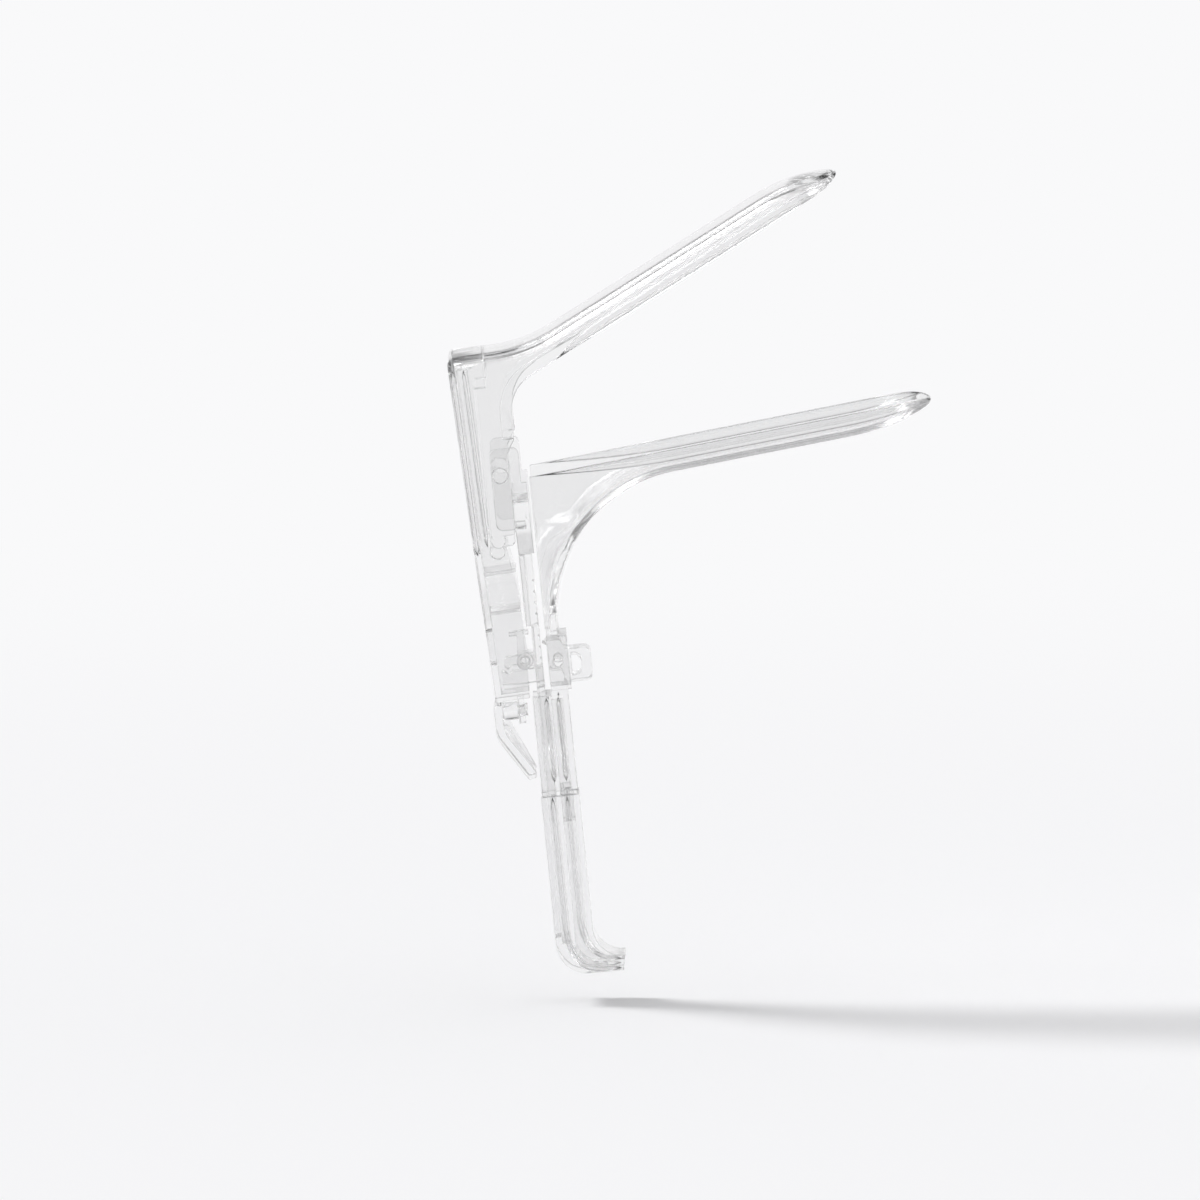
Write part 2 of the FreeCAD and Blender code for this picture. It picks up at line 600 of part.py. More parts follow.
def lower_blade():
    """Trough, cheeks that narrow to the handle, collar for the latch and sleeve for the slide."""
    body = new_body("lower_blade")
    root = drawn(
        body, "root_form", "XY_Plane",
        [(f"-lower_root_radius + {up}", across, *rest)
         for across, up, *rest in crown("lower_half_width", "cheek_reach")],
        away="lower_front_z", at=("lower_front_x + lower_root_radius", "0"),
    )
    turned(body, root, "90 - lower_angle")
    hollow = drawn(body, "root_hollow", "YZ_Plane",
                   flare("lower_inner_half", "grip_half_width - grip_wall"))
    pocket(body, hollow, "cheek_reach * 6")
    section = drawn(
        body, "lower_section", "XY_Plane",
        [(up, across, *rest)
         for across, up, *rest in blade_section("lower_half_width", "lower_inner_half", "lower_depth")],
        away="collar_bottom_z + side_wall", at=("lower_front_x", "0"),
    )
    tip = (
        "lower_front_x + lower_reach * cos(lower_angle)",
        "lower_corner_z + lower_reach * sin(lower_angle)",
        "lower_tip_radius",
    )
    end = (
        f"{tip[0]} + (lower_tip_tangent + fit_gap) * cos(lower_tip_angle)",
        f"{tip[1]} + (lower_tip_tangent + fit_gap) * sin(lower_tip_angle)",
    )
    path = route(body, "lower_path", [
        ("lower_front_x", "collar_bottom_z + side_wall"),
        ("lower_front_x", "lower_corner_z", "lower_root_radius"),
        tip,
        end,
    ])
    swept(body, section, path)
    for hand in ("", "-"):
        outside = drawn(body, "flare_" + ("left" if hand else "right"), "YZ_Plane", [
            (f"{hand}lower_half_width * 2", "collar_bottom_z"),
            (f"{hand}grip_half_width", "collar_bottom_z"),
            (f"{hand}grip_half_width", "flare_bottom_z", "flare_radius"),
            (f"{hand}lower_half_width", "flare_top_z", "flare_radius"),
            (f"{hand}lower_half_width", "lower_blade_z"),
            (f"{hand}lower_half_width * 2", "lower_blade_z"),
        ])
        pocket(body, outside, "cheek_reach * 6")
    behind = drawn(body, "back_cut", "XZ_Plane", box_outline(
        "cheek_back_x - cheek_reach * 2", "collar_bottom_z - cut_past",
        "cheek_back_x", "lower_rim_z + cut_past * 20"))
    pocket(body, behind, "lower_half_width * 4")
    above = drawn(body, "lower_rim_cut", "XZ_Plane", [
        lower_line("-cheek_reach * 2"), lower_line("lower_straight * 2"),
        lower_line("lower_straight * 2", "lower_straight"),
        lower_line("-cheek_reach * 2", "lower_straight"),
    ])
    pocket(body, above, "lower_half_width * 4")
    rounded_tip(body, "lower_tip_corners", "lower_tip_x", "lower_half_width + fit_gap", "lower_front_z")
    neck = drawn(body, "neck", "XZ_Plane", box_outline(
        "cheek_back_x", "sleeve_top_z - grip_wall", "sleeve_front_x", "collar_bottom_z + grip_wall"))
    pad(body, neck, "grip_half_width * 2")
    collar = drawn(body, "collar", "XZ_Plane", box_outline(
        "cheek_back_x", "collar_bottom_z", "collar_front_x", "collar_top_z"))
    pad(body, collar, "collar_half_width * 2")
    sleeve = drawn(body, "sleeve", "XZ_Plane", box_outline(
        "sleeve_back_x", "grip_top_z + seat_gap", "sleeve_front_x", "sleeve_top_z"))
    pad(body, sleeve, "grip_half_width * 2")
    channel = drawn(body, "slide_channel", "XZ_Plane", box_outline(
        "channel_back_x", "grip_top_z - cut_past", "channel_front_x", "sleeve_top_z + cut_past"))
    pocket(body, channel, "(grip_half_width - grip_wall) * 2")
    slot = drawn(body, "back_slot", "XZ_Plane", box_outline(
        "sleeve_back_x - cut_past", "grip_top_z - cut_past",
        "channel_back_x + cut_past / 2", "sleeve_top_z + cut_past"))
    pocket(body, slot, "(grip_half_width - grip_lip) * 2")
    cavity = drawn(body, "lamp_cavity", "XZ_Plane", box_outline(
        "channel_front_x + web_wall", "grip_top_z - cut_past",
        "sleeve_front_x - grip_wall", "sleeve_top_z - cut_past"))
    pocket(body, cavity, "(grip_half_width - grip_wall) * 2")
    spigot = drawn(body, "spigot", "XZ_Plane", box_outline(
        "channel_front_x + web_wall + fit_gap", "grip_top_z - spigot_length",
        "grip_front_x - grip_wall - fit_gap", "grip_top_z + cut_past * 2"))
    pad(body, spigot, "(grip_half_width - grip_wall - fit_gap) * 2")
    bore = drawn(body, "spigot_bore", "XZ_Plane", box_outline(
        "channel_front_x + web_wall + fit_gap + spigot_wall", "grip_top_z - spigot_length - cut_past",
        "grip_front_x - grip_wall - fit_gap - spigot_wall", "grip_top_z + cut_past * 3"))
    pocket(body, bore, "(grip_half_width - grip_wall - fit_gap - spigot_wall) * 2")
    window = drawn(body, "latch_window", "XZ_Plane", box_outline(
        "cheek_back_x - cut_past", "tab_bottom_z - latch_gap * 2",
        "collar_front_x + cut_past", "collar_top_z - latch_gap * 2"))
    pocket(body, window, "(latch_half_width + latch_gap) * 2")
    hole = drawn(body, "latch_pin_hole", "XZ_Plane", discs=[
        (("latch_pivot_x", "latch_pivot_z"), "pin_radius + fit_gap / 2")])
    pocket(body, hole, "collar_half_width * 3")
    return body


def flare(top_half, foot_half):
    """The front view of the root: wide at the blade, narrow at the handle, with soft corners."""
    half = [
        (foot_half, "collar_bottom_z - cut_past"),
        (foot_half, "flare_bottom_z", "flare_radius"),
        (top_half, "flare_top_z", "flare_radius"),
        (top_half, "lower_rim_z + cheek_reach"),
    ]
    return half + [(f"-({across})", *rest) for across, *rest in half[::-1]]


def handle_grip():
    """Grip with a closed cavity in front, an open channel behind and a hooked foot."""
    body = new_body("handle_grip")
    outside = drawn(body, "grip_side", "XZ_Plane", [
        ("grip_back_x", "grip_top_z"),
        ("grip_back_x", "foot_back_z", "foot_back_radius"),
        ("foot_end_x - foot_slant", "foot_back_z"),
        ("foot_end_x", "foot_front_z"),
        ("grip_front_x", "foot_front_z", "foot_front_radius"),
        ("grip_front_x", "grip_top_z"),
    ])
    pad(body, outside, "grip_half_width * 2")
    cavity = drawn(body, "grip_cavity", "XZ_Plane", [
        ("channel_front_x + web_wall", "grip_top_z + cut_past"),
        ("channel_front_x + web_wall", "foot_back_z + foot_wall", "foot_back_radius - grip_wall"),
        ("foot_end_x - grip_wall * 3", "foot_back_z + foot_wall"),
        ("foot_end_x - grip_wall * 3", "foot_front_z - foot_wall"),
        ("grip_front_x - grip_wall", "foot_front_z - foot_wall", "foot_front_radius + grip_wall"),
        ("grip_front_x - grip_wall", "grip_top_z + cut_past"),
    ])
    pocket(body, cavity, "(grip_half_width - grip_wall) * 2")
    channel = drawn(body, "grip_channel", "XZ_Plane", box_outline(
        "channel_back_x", "foot_back_z + foot_back_radius", "channel_front_x", "grip_top_z + cut_past"))
    pocket(body, channel, "(grip_half_width - grip_wall) * 2")
    slot = drawn(body, "grip_slot", "XZ_Plane", box_outline(
        "grip_back_x - cut_past", "foot_back_z + foot_back_radius + grip_wall",
        "channel_back_x + slide_gap", "grip_top_z + cut_past"))
    pocket(body, slot, "(grip_half_width - grip_lip) * 2")
    return body


def slide():
    """Upright with a tongue in the handle, stiffened column, fork, ears and trunnions."""
    body = new_body("slide")
    tongue = drawn(body, "tongue", "XZ_Plane", box_outline(
        "slide_back_x", "slide_bottom_z", "slide_front_x", "yoke_bottom_z"))
    pad(body, tongue, "slide_half_width * 2")
    column = drawn(body, "column", "XZ_Plane", box_outline(
        "column_back_x", "column_bottom_z", "slide_front_x", "yoke_bottom_z + cut_past * 2"))
    pad(body, column, "(slide_half_width + slide_gap * 2) * 2")
    relief = drawn(body, "column_relief", "XZ_Plane", box_outline(
        "column_back_x - cut_past", "column_bottom_z - cut_past",
        "slide_back_x", "yoke_bottom_z - cut_past"))
    pocket(body, relief, "(slide_half_width - side_wall) * 2")
    yoke = drawn(body, "yoke", "YZ_Plane", [
        ("slide_half_width + slide_gap * 2", "yoke_bottom_z - yoke_rise", "yoke_radius"),
        ("lower_half_width", "yoke_bottom_z + yoke_rise", "yoke_radius"),
        ("lower_half_width", "yoke_top_z + yoke_rise"),
        ("lower_inner_half", "yoke_top_z + yoke_rise"),
        ("lower_inner_half - yoke_rise / 2", "yoke_top_z - yoke_rise / 2", "yoke_radius / 2"),
        ("-(lower_inner_half - yoke_rise / 2)", "yoke_top_z - yoke_rise / 2", "yoke_radius / 2"),
        ("-lower_inner_half", "yoke_top_z + yoke_rise"),
        ("-lower_half_width", "yoke_top_z + yoke_rise"),
        ("-lower_half_width", "yoke_bottom_z + yoke_rise", "yoke_radius"),
        ("-(slide_half_width + slide_gap * 2)", "yoke_bottom_z - yoke_rise", "yoke_radius"),
    ], away="column_back_x")
    pad(body, yoke, "yoke_front_x - column_back_x", both_ways=False)
    ears = new_sketch(body, "ears", "XZ_Plane", "lower_inner_half")
    plates(body, ears, "side_wall", [
        ("ear_back_x", "yoke_bottom_z + yoke_rise", "yoke_radius / 3"),
        ("ear_front_x", "yoke_bottom_z + yoke_rise"),
        ("ear_front_x", "ear_top_z", "ear_corner"),
        ("ear_back_x", "ear_top_z", "ear_corner"),
    ])
    trunnions = new_sketch(body, "trunnions", "XZ_Plane", "upper_inner_half")
    plates(body, trunnions, "lower_inner_half - upper_inner_half + side_wall / 2",
           discs=[(("pivot_x", "pivot_z"), "trunnion_radius")])
    lugs = new_sketch(body, "pawl_lugs", "XZ_Plane", "pawl_half_width + latch_gap")
    plates(body, lugs, "pawl_ear", [
        ("slide_back_x + cut_past / 2", "pawl_pivot_z - pawl_hub_radius"),
        ("slide_back_x + cut_past / 2", "pawl_pivot_z + pawl_hub_radius"),
        ("pawl_pivot_x - pawl_hub_radius", "pawl_pivot_z + pawl_hub_radius",
         "pawl_hub_radius - round_rest"),
        ("pawl_pivot_x - pawl_hub_radius", "pawl_pivot_z - pawl_hub_radius",
         "pawl_hub_radius - round_rest"),
    ])
    hole = drawn(body, "pawl_pin_hole", "XZ_Plane", discs=[
        (("pawl_pivot_x", "pawl_pivot_z"), "pin_radius + fit_gap / 2")])
    pocket(body, hole, "grip_half_width * 2")
    gate = drawn(body, "rack_gate", "XZ_Plane", box_outline(
        "slide_back_x - cut_past", "pivot_z - rack_top_radius - rack_height - gate_gap",
        "slide_front_x + cut_past", "pivot_z - rack_top_radius + gate_gap"))
    pocket(body, gate, "(rack_half_width + latch_gap) * 2")
    notch = drawn(body, "height_notch", "XZ_Plane", [
        ("slide_front_x + notch_depth", "first_notch_z - notch_depth * 2"),
        ("slide_front_x - notch_depth", "first_notch_z"),
        ("slide_front_x + notch_depth", "first_notch_z + notch_depth * 2"),
    ])
    first = pocket(body, notch, "(latch_half_width - side_wall + latch_gap) * 2")
    rungs = body.newObject("PartDesign::LinearPattern", "height_notches")
    rungs.Originals = [first]
    rungs.Direction = (origin_plane(body, "Z_Axis"), [""])
    rungs.setExpression("Length", bound("notch_pitch * (notch_count - cut_past)"))
    rungs.setExpression("Occurrences", bound("notch_count"))
    body.Tip = rungs
    doc.recompute()
    return body


def leaned(x, z, *radius):
    """A place of the upright frame of reference, seen in the leaning frame's own sketch."""
    across, up = f"({x} - pivot_x)", f"({z} - pivot_z)"
    return (
        f"{across} * cos(frame_lean) + {up} * sin(frame_lean)",
        f"{up} * cos(frame_lean) - {across} * sin(frame_lean)",
        *radius,
    )


def arch_outline(inset, foot):
    """Front view of the frame: narrow foot, wide sides and a crowned top, drawn about the hinge."""
    middle, shoulder = crown(f"(upper_half_width - {inset})", "upper_depth", inset)[2:4]
    right = [
        (f"(frame_foot_half_width - {inset})", foot),
        (f"(frame_foot_half_width - {inset})", "-(pivot_z - flare_bottom_z)", "flare_radius"),
        (f"(upper_half_width - {inset})", "-(pivot_z - frame_wide_z)", "flare_radius"),
        (f"(upper_half_width - {inset})", f"frame_top + {shoulder[1]}", f"corner_radius - {inset}"),
    ]
    top = [("0", f"frame_top + {middle[1]}", middle[2])]
    return right + top + [(f"-{across}", *rest) for across, *rest in right[::-1]]


def lever_frame():
    """Arch of channel section that leans back: flange behind, two webs, cross ribs and a foot lug."""
    body = new_body("lever_frame")
    body.Placement.Rotation = FreeCAD.Rotation(Vector(0, -1, 0), size("frame_lean"))
    body.setExpression("Placement.Base.x", bound("pivot_x"))
    body.setExpression("Placement.Base.z", bound("pivot_z"))
    body.setExpression("Placement.Rotation.Angle", bound("frame_lean"))
    form = drawn(body, "frame_form", "YZ_Plane", arch_outline("0", "-frame_bottom"), away="-frame_back")
    pad(body, form, "frame_back + frame_reach", both_ways=False)
    front = drawn(body, "frame_front", "XZ_Plane", [
        leaned("frame_reach * 9", "upper_start_z + cut_past * 10"),
        leaned("upper_start_x - seat_gap", "upper_start_z + cut_past * 10"),
        leaned("upper_start_x - seat_gap", "cheek_step_z + seat_gap"),
        leaned("strap_back_x - seat_gap", "cheek_step_z + seat_gap"),
        leaned("strap_back_x - seat_gap", "strap_end_z - seat_gap"),
        leaned("frame_seat_x", "strap_end_z - seat_gap"),
        leaned("frame_foot_x", "flare_bottom_z + frame_foot_rise", "flare_radius"),
        leaned("frame_foot_x", "pivot_z - frame_bottom - cut_past * 10"),
        leaned("frame_reach * 9", "pivot_z - frame_bottom - cut_past * 10"),
    ])
    pocket(body, front, "upper_half_width * 3")
    corner = drawn(body, "frame_top_corner", "XZ_Plane", [
        ("-frame_back", "frame_top - frame_corner * 2"),
        ("-frame_back", "frame_top", "frame_corner"),
        ("frame_corner * 2 - frame_back", "frame_top"),
        ("frame_corner * 2 - frame_back", "frame_top + frame_corner"),
        ("-frame_back - frame_corner", "frame_top + frame_corner"),
        ("-frame_back - frame_corner", "frame_top - frame_corner * 2"),
    ])
    pocket(body, corner, "upper_half_width * 3")
    inside = drawn(body, "frame_inside", "YZ_Plane",
                   arch_outline("side_wall", "-frame_bottom + side_wall"), away="frame_flange - frame_back")
    pocket(body, inside, "frame_reach * 9", both_ways=False, flip=True)
    ring = drawn(body, "viewing_ring", "YZ_Plane", [
        ("-(upper_half_width - frame_flange_width)", "-frame_sill", "ring_corner"),
        ("upper_half_width - frame_flange_width", "-frame_sill", "ring_corner"),
        ("upper_half_width - frame_flange_width", "frame_top - frame_flange_width", "ring_corner"),
        ("-(upper_half_width - frame_flange_width)", "frame_top - frame_flange_width", "ring_corner"),
    ])
    pocket(body, ring, "frame_back * 4")
    window = drawn(body, "pawl_window", "YZ_Plane", [
        ("-window_half_width", "-(pivot_z - pawl_pivot_z)", "strap_corner"),
        ("window_half_width", "-(pivot_z - pawl_pivot_z)", "strap_corner"),
        ("window_half_width", "-(pivot_z - flare_bottom_z)", "strap_corner"),
        ("-window_half_width", "-(pivot_z - flare_bottom_z)", "strap_corner"),
    ])
    pocket(body, window, "frame_back * 4")
    for name, height in (("upper", "rib_high_z"), ("lower", "rib_low_z")):
        reach, level = leaned("rib_front_x", height)
        rib = drawn(body, f"{name}_rib", "XZ_Plane", box_outline(
            "frame_flange / 2 - frame_back", level, reach, f"{level} + side_wall / 2"))
        pad(body, rib, "(frame_foot_half_width - side_wall / 2) * 2")
    socket = drawn(body, "hook_socket", "XZ_Plane", discs=[
        (leaned("hook_x", "hook_z"), "hook_radius + fit_gap")])
    pocket(body, socket, "upper_half_width * 3")
    lug = drawn(body, "peg_lug", "XZ_Plane", [
        leaned("lug_back_x", "peg_z - peg_radius - side_wall / 2"),
        leaned("lug_back_x + side_wall", "peg_z - peg_radius - side_wall / 2"),
        leaned("lug_back_x + side_wall", "pivot_z - frame_bottom + side_wall / 2"),
        leaned("lug_back_x", "pivot_z - frame_bottom + side_wall / 2"),
    ])
    pad(body, lug, "(peg_radius + side_wall / 2) * 2")
    hole = drawn(body, "peg_hole", "YZ_Plane", discs=[
        (("0", leaned("lug_back_x", "peg_z")[1]), "peg_neck_radius + fit_gap * 2")])
    pocket(body, hole, "frame_back * 4")
    return body


def thumb_lever():
    """Curved paddle with a rib down each side and a round peg that snaps through the frame's lug."""
    body = new_body("thumb_lever")
    side = drawn(body, "paddle_side", "XZ_Plane", [
        ("lever_back_x", "lever_top_z", "lever_thick / 2 - round_rest"),
        ("lever_back_x", "lever_bend_z", "lever_bend_radius"),
        ("lever_tip_x - lever_thick", "lever_tip_z", "lever_thick / 3"),
        ("lever_tip_x", "lever_tip_z + lever_thick / 4", "lever_thick / 3"),
        ("lever_tip_x - lever_thick / 4", "lever_tip_z + lever_thick", "lever_thick / 3"),
        ("lever_back_x + lever_thick", "lever_bend_z + lever_thick / 2", "lever_bend_radius - lever_thick"),
        ("lever_back_x + lever_thick", "lever_top_z", "lever_thick / 2 - round_rest"),
    ])
    pad(body, side, "lever_half_width * 2")
    ribs = new_sketch(body, "paddle_ribs", "XZ_Plane", "lever_half_width - lever_rib")
    plates(body, ribs, "lever_rib", [
        ("lever_back_x + lever_thick / 2", "lever_bend_z + lever_thick * 1.6"),
        ("lever_back_x + lever_thick / 2", "lever_bend_z + lever_thick / 4",
         "lever_bend_radius - lever_thick / 2"),
        ("lever_tip_x - lever_thick * 0.6", "lever_tip_z + lever_thick * 0.5"),
        ("lever_tip_x", "lever_tip_z + lever_thick * 0.7"),
        ("lever_back_x + lever_thick * 1.6", "lever_bend_z + lever_thick * 1.6", "lever_rib"),
    ])
    barrel = drawn(body, "barrel", "YZ_Plane", discs=[(("0", "peg_z"), "peg_radius")],
                   away="lever_back_x + lever_thick / 2")
    pad(body, barrel, "lug_back_x - fit_gap - lever_back_x - lever_thick / 2", both_ways=False)
    neck = drawn(body, "neck", "YZ_Plane", discs=[(("0", "peg_z"), "peg_neck_radius")],
                 away="lug_back_x - side_wall")
    pad(body, neck, "side_wall * 2 + fit_gap * 4", both_ways=False)
    head = drawn(body, "head", "YZ_Plane", discs=[(("0", "peg_z"), "peg_neck_radius + fit_gap * 6")],
                 away="lug_back_x + side_wall + fit_gap * 3")
    pad(body, head, "side_wall / 3", both_ways=False)
    return body


def polar(radius, angle):
    """A place under the hinge, at a radius from it and an angle forward of straight down."""
    return f"({radius}) * sin({angle})", f"-({radius}) * cos({angle})"


def tilt_rack():
    """Bar bent about the hinge, with V teeth on its upper edge."""
    body = new_body("tilt_rack")
    about = ("pivot_x", "pivot_z")
    ring = drawn(body, "rack_ring", "XZ_Plane", at=about, discs=[
        (("0", "0"), "rack_top_radius"), (("0", "0"), "rack_top_radius + rack_height")])
    pad(body, ring, "rack_half_width * 2")
    far = "rack_top_radius * 1.5"
    rest = drawn(body, "rack_ends", "XZ_Plane", at=about, corners=[
        (f"-{far}", far), (far, far), (far, f"-{far}"),
        ("rack_front_x - pivot_x", f"-{far}"), ("rack_front_x - pivot_x", "-rack_top_radius / 2"),
        ("rack_back_x - pivot_x", "-rack_top_radius / 2"), ("rack_back_x - pivot_x", f"-{far}"),
        (f"-{far}", f"-{far}"),
    ])
    pocket(body, rest, "rack_half_width * 4")
    mouth = "tooth_angle * 0.45"
    tooth_space = drawn(body, "tooth_space", "XZ_Plane", at=about, corners=[
        polar("rack_top_radius - tooth_depth / 2", f"nose_angle - {mouth}"),
        polar("rack_top_radius + tooth_depth", "nose_angle"),
        polar("rack_top_radius - tooth_depth / 2", f"nose_angle + {mouth}"),
    ])
    first = pocket(body, tooth_space, "rack_half_width * 4")
    row = body.newObject("PartDesign::PolarPattern", "tooth_spaces")
    row.Originals = [first]
    row.Axis = (tooth_space, ["N_Axis"])
    row.setExpression("Angle", bound("tooth_angle * (tooth_count - cut_past)"))
    row.setExpression("Occurrences", bound("tooth_count"))
    row.Reversed = True
    body.Tip = row
    doc.recompute()
    return body


def tilt_pawl():
    """Lever with a hub, a nose over the rack's teeth and a tail for the thumb."""
    body = new_body("tilt_pawl")
    hub = drawn(body, "pawl_hub", "XZ_Plane", discs=[(("pawl_pivot_x", "pawl_pivot_z"), "pawl_hub_radius")])
    pad(body, hub, "pawl_half_width * 2")
    nose_x, nose_z = "pawl_nose_x", "pawl_nose_z"
    arm = drawn(body, "pawl_arm", "XZ_Plane", [
        (nose_x, nose_z),
        (f"{nose_x} + tooth_depth", f"{nose_z} + tooth_depth * 1.2"),
        ("pawl_pivot_x", "pawl_pivot_z - pawl_hub_radius * 0.6"),
        ("pawl_pivot_x", "pawl_pivot_z + pawl_hub_radius * 0.8"),
        (f"{nose_x} - tooth_depth", "pawl_pivot_z + pawl_hub_radius * 0.5", "tooth_depth"),
        (f"{nose_x} - tooth_depth", f"{nose_z} + tooth_depth * 1.2"),
    ])
    pad(body, arm, "pawl_half_width * 2")
    tail = drawn(body, "pawl_tail", "XZ_Plane", [
        ("pawl_pivot_x - pawl_hub_radius * 0.9", "pawl_pivot_z"),
        ("pawl_pivot_x + pawl_hub_radius * 0.5", "pawl_pivot_z"),
        ("pawl_pivot_x + pawl_hub_radius * 0.2", "pawl_tail_z", "tooth_depth * 0.8"),
        ("pawl_pivot_x - pawl_hub_radius * 0.7", "pawl_tail_z", "tooth_depth * 0.8"),
    ])
    pad(body, tail, "pawl_half_width * 2")
    thumb_pad = drawn(body, "pawl_pad", "XZ_Plane", [
        ("pawl_pivot_x - pawl_pad * 0.7", "pawl_tail_z - pawl_pad_height"),
        ("pawl_pivot_x + pawl_pad * 0.3", "pawl_tail_z - pawl_pad_height"),
        ("pawl_pivot_x + pawl_pad * 0.3", "pawl_tail_z"),
        ("pawl_pivot_x - pawl_pad * 0.7", "pawl_tail_z"),
    ])
    pad(body, thumb_pad, "pawl_half_width * 2")
    bore = drawn(body, "pawl_bore", "XZ_Plane", discs=[
        (("pawl_pivot_x", "pawl_pivot_z"), "pin_radius + running_gap")])
    pocket(body, bore, "pawl_half_width * 3")
    return body


def height_latch():
    """Rocker with a finger tab in front, a bore for its pin and a nose for the slide's notches."""
    body = new_body("height_latch")
    arm = "latch_pivot_x - latch_hub_radius"
    side = drawn(body, "latch_side", "XZ_Plane", [
        (arm, "latch_pivot_z - latch_hub_radius", "pin_radius"),
        ("collar_front_x - side_wall", "latch_pivot_z - latch_hub_radius", "pin_radius"),
        ("collar_front_x - side_wall", "tab_bottom_z", "pin_radius"),
        ("tab_front_x", "tab_bottom_z", "tab_corner"),
        ("tab_front_x", "tab_top_z", "tab_corner"),
        ("latch_pivot_x + latch_hub_radius", "tab_top_z", "pin_radius"),
        ("latch_pivot_x + side_wall / 2", "nose_z + notch_depth", "pin_radius / 2"),
        (arm, "nose_z + notch_depth"),
        ("slide_front_x + nose_release", "nose_z"),
        (arm, "nose_z - notch_depth"),
    ])
    pad(body, side, "latch_half_width * 2")
    trim = new_sketch(body, "nose_trim", "XZ_Plane", "latch_half_width - side_wall")
    outline = Outline(trim)
    outline.sides(box_outline("slide_front_x", "nose_z - notch_depth * 2", arm, "nose_z + notch_depth * 2"))
    outline.close()
    doc.recompute()
    cut = pocket(body, trim, "side_wall * 2", both_ways=False, flip=True)
    mirrored(body, cut)
    grip = drawn(body, "finger_hole", "XZ_Plane", [
        ("ridge_back_x", "ridge_bottom_z"),
        ("ridge_front_x", "ridge_bottom_z", "tab_corner"),
        ("ridge_front_x", "ridge_top_z", "tab_corner"),
        ("ridge_back_x", "ridge_top_z"),
    ])
    pocket(body, grip, "latch_half_width * 3")
    bore = drawn(body, "latch_bore", "XZ_Plane", discs=[
        (("latch_pivot_x", "latch_pivot_z"), "pin_radius + running_gap")])
    pocket(body, bore, "latch_half_width * 3")
    return body


def pin(name, place, half_length):
    """A plain round pin across the instrument."""
    body = new_body(name)
    end = drawn(body, name + "_end", "XZ_Plane", discs=[(place, "pin_radius")])
    pad(body, end, f"({half_length}) * 2")
    return body


def write_parts(bodies):
    """Checks every object of the document and writes one file for each piece."""
    doc.recompute()
    for item in doc.Objects:
        if {"Invalid", "Error"} & set(item.State):
            raise ValueError(f"{item.Name} failed: {item.State}")
    for body in bodies:
        if body.Shape.isNull() or not body.Shape.isValid() or not body.Shape.Solids:
            raise ValueError(f"{body.Label} has no valid shape")
        if len(body.Shape.Solids) != 1:
            raise ValueError(f"{body.Label} is in {len(body.Shape.Solids)} pieces")
    os.makedirs("parts", exist_ok=True)
    for body in bodies:
        body.Shape.exportStep(f"parts/{body.Label}.step")
        box = body.Shape.BoundBox
        print(body.Label, round(body.Shape.Volume, 1), [round(v, 2) for v in (
            box.XMin, box.XMax, box.YMin, box.YMax, box.ZMin, box.ZMax)])


write_parts([
    upper_blade(),
    lower_blade(),
    handle_grip(),
    slide(),
    lever_frame(),
    thumb_lever(),
    tilt_rack(),
    tilt_pawl(),
    pin("pawl_pin", ("pawl_pivot_x", "pawl_pivot_z"), "pawl_half_width + latch_gap + pawl_ear"),
    height_latch(),
    pin("latch_pin", ("latch_pivot_x", "latch_pivot_z"), "collar_half_width"),
])
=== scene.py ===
"""A bivalve speculum of clear moulded styrene, dressed for a studio photograph.

The construction is loaded as a fixed frame. Every moulding is copied from it, welded and given the
small round that a mould leaves on its edges. The closed noses of the blades, the rolled bands at their
rims and the low ribs are worked out here. Names that end in mm are millimetres; meshes are in metres.
"""
import logging
import math
from dataclasses import dataclass
from enum import Enum

import bmesh
import bpy
import numpy as np
from mathutils import Matrix, Vector


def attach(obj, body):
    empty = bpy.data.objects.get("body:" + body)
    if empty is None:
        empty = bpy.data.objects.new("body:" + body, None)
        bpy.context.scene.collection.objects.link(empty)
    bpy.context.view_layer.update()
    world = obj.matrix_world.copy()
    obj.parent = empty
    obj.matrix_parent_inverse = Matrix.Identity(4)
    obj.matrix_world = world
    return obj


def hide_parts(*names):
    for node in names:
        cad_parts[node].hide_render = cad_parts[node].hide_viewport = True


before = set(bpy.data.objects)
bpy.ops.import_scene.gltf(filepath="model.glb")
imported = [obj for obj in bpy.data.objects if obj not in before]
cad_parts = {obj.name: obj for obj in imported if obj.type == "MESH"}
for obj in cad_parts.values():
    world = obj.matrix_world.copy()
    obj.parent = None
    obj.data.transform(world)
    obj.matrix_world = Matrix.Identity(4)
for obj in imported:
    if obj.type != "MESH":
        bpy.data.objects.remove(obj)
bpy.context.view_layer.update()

MM = 0.001
WELD = 2e-7  # metres within which two vertices of a copied solid are one
LOG = logging.getLogger("speculum")


def linear(code: str) -> tuple[float, float, float, float]:
    """Turns an sRGB hex colour into linear light.

    Args:
        code: The colour as #RRGGBB.

    Returns:
        Red, green, blue and an alpha of 1.
    """
    shares = np.array([int(code[i:i + 2], 16) for i in (1, 3, 5)]) / 255
    light = np.where(shares <= 0.04045, shares / 12.92, ((shares + 0.055) / 1.055) ** 2.4)
    return (*(float(v) for v in light), 1.0)


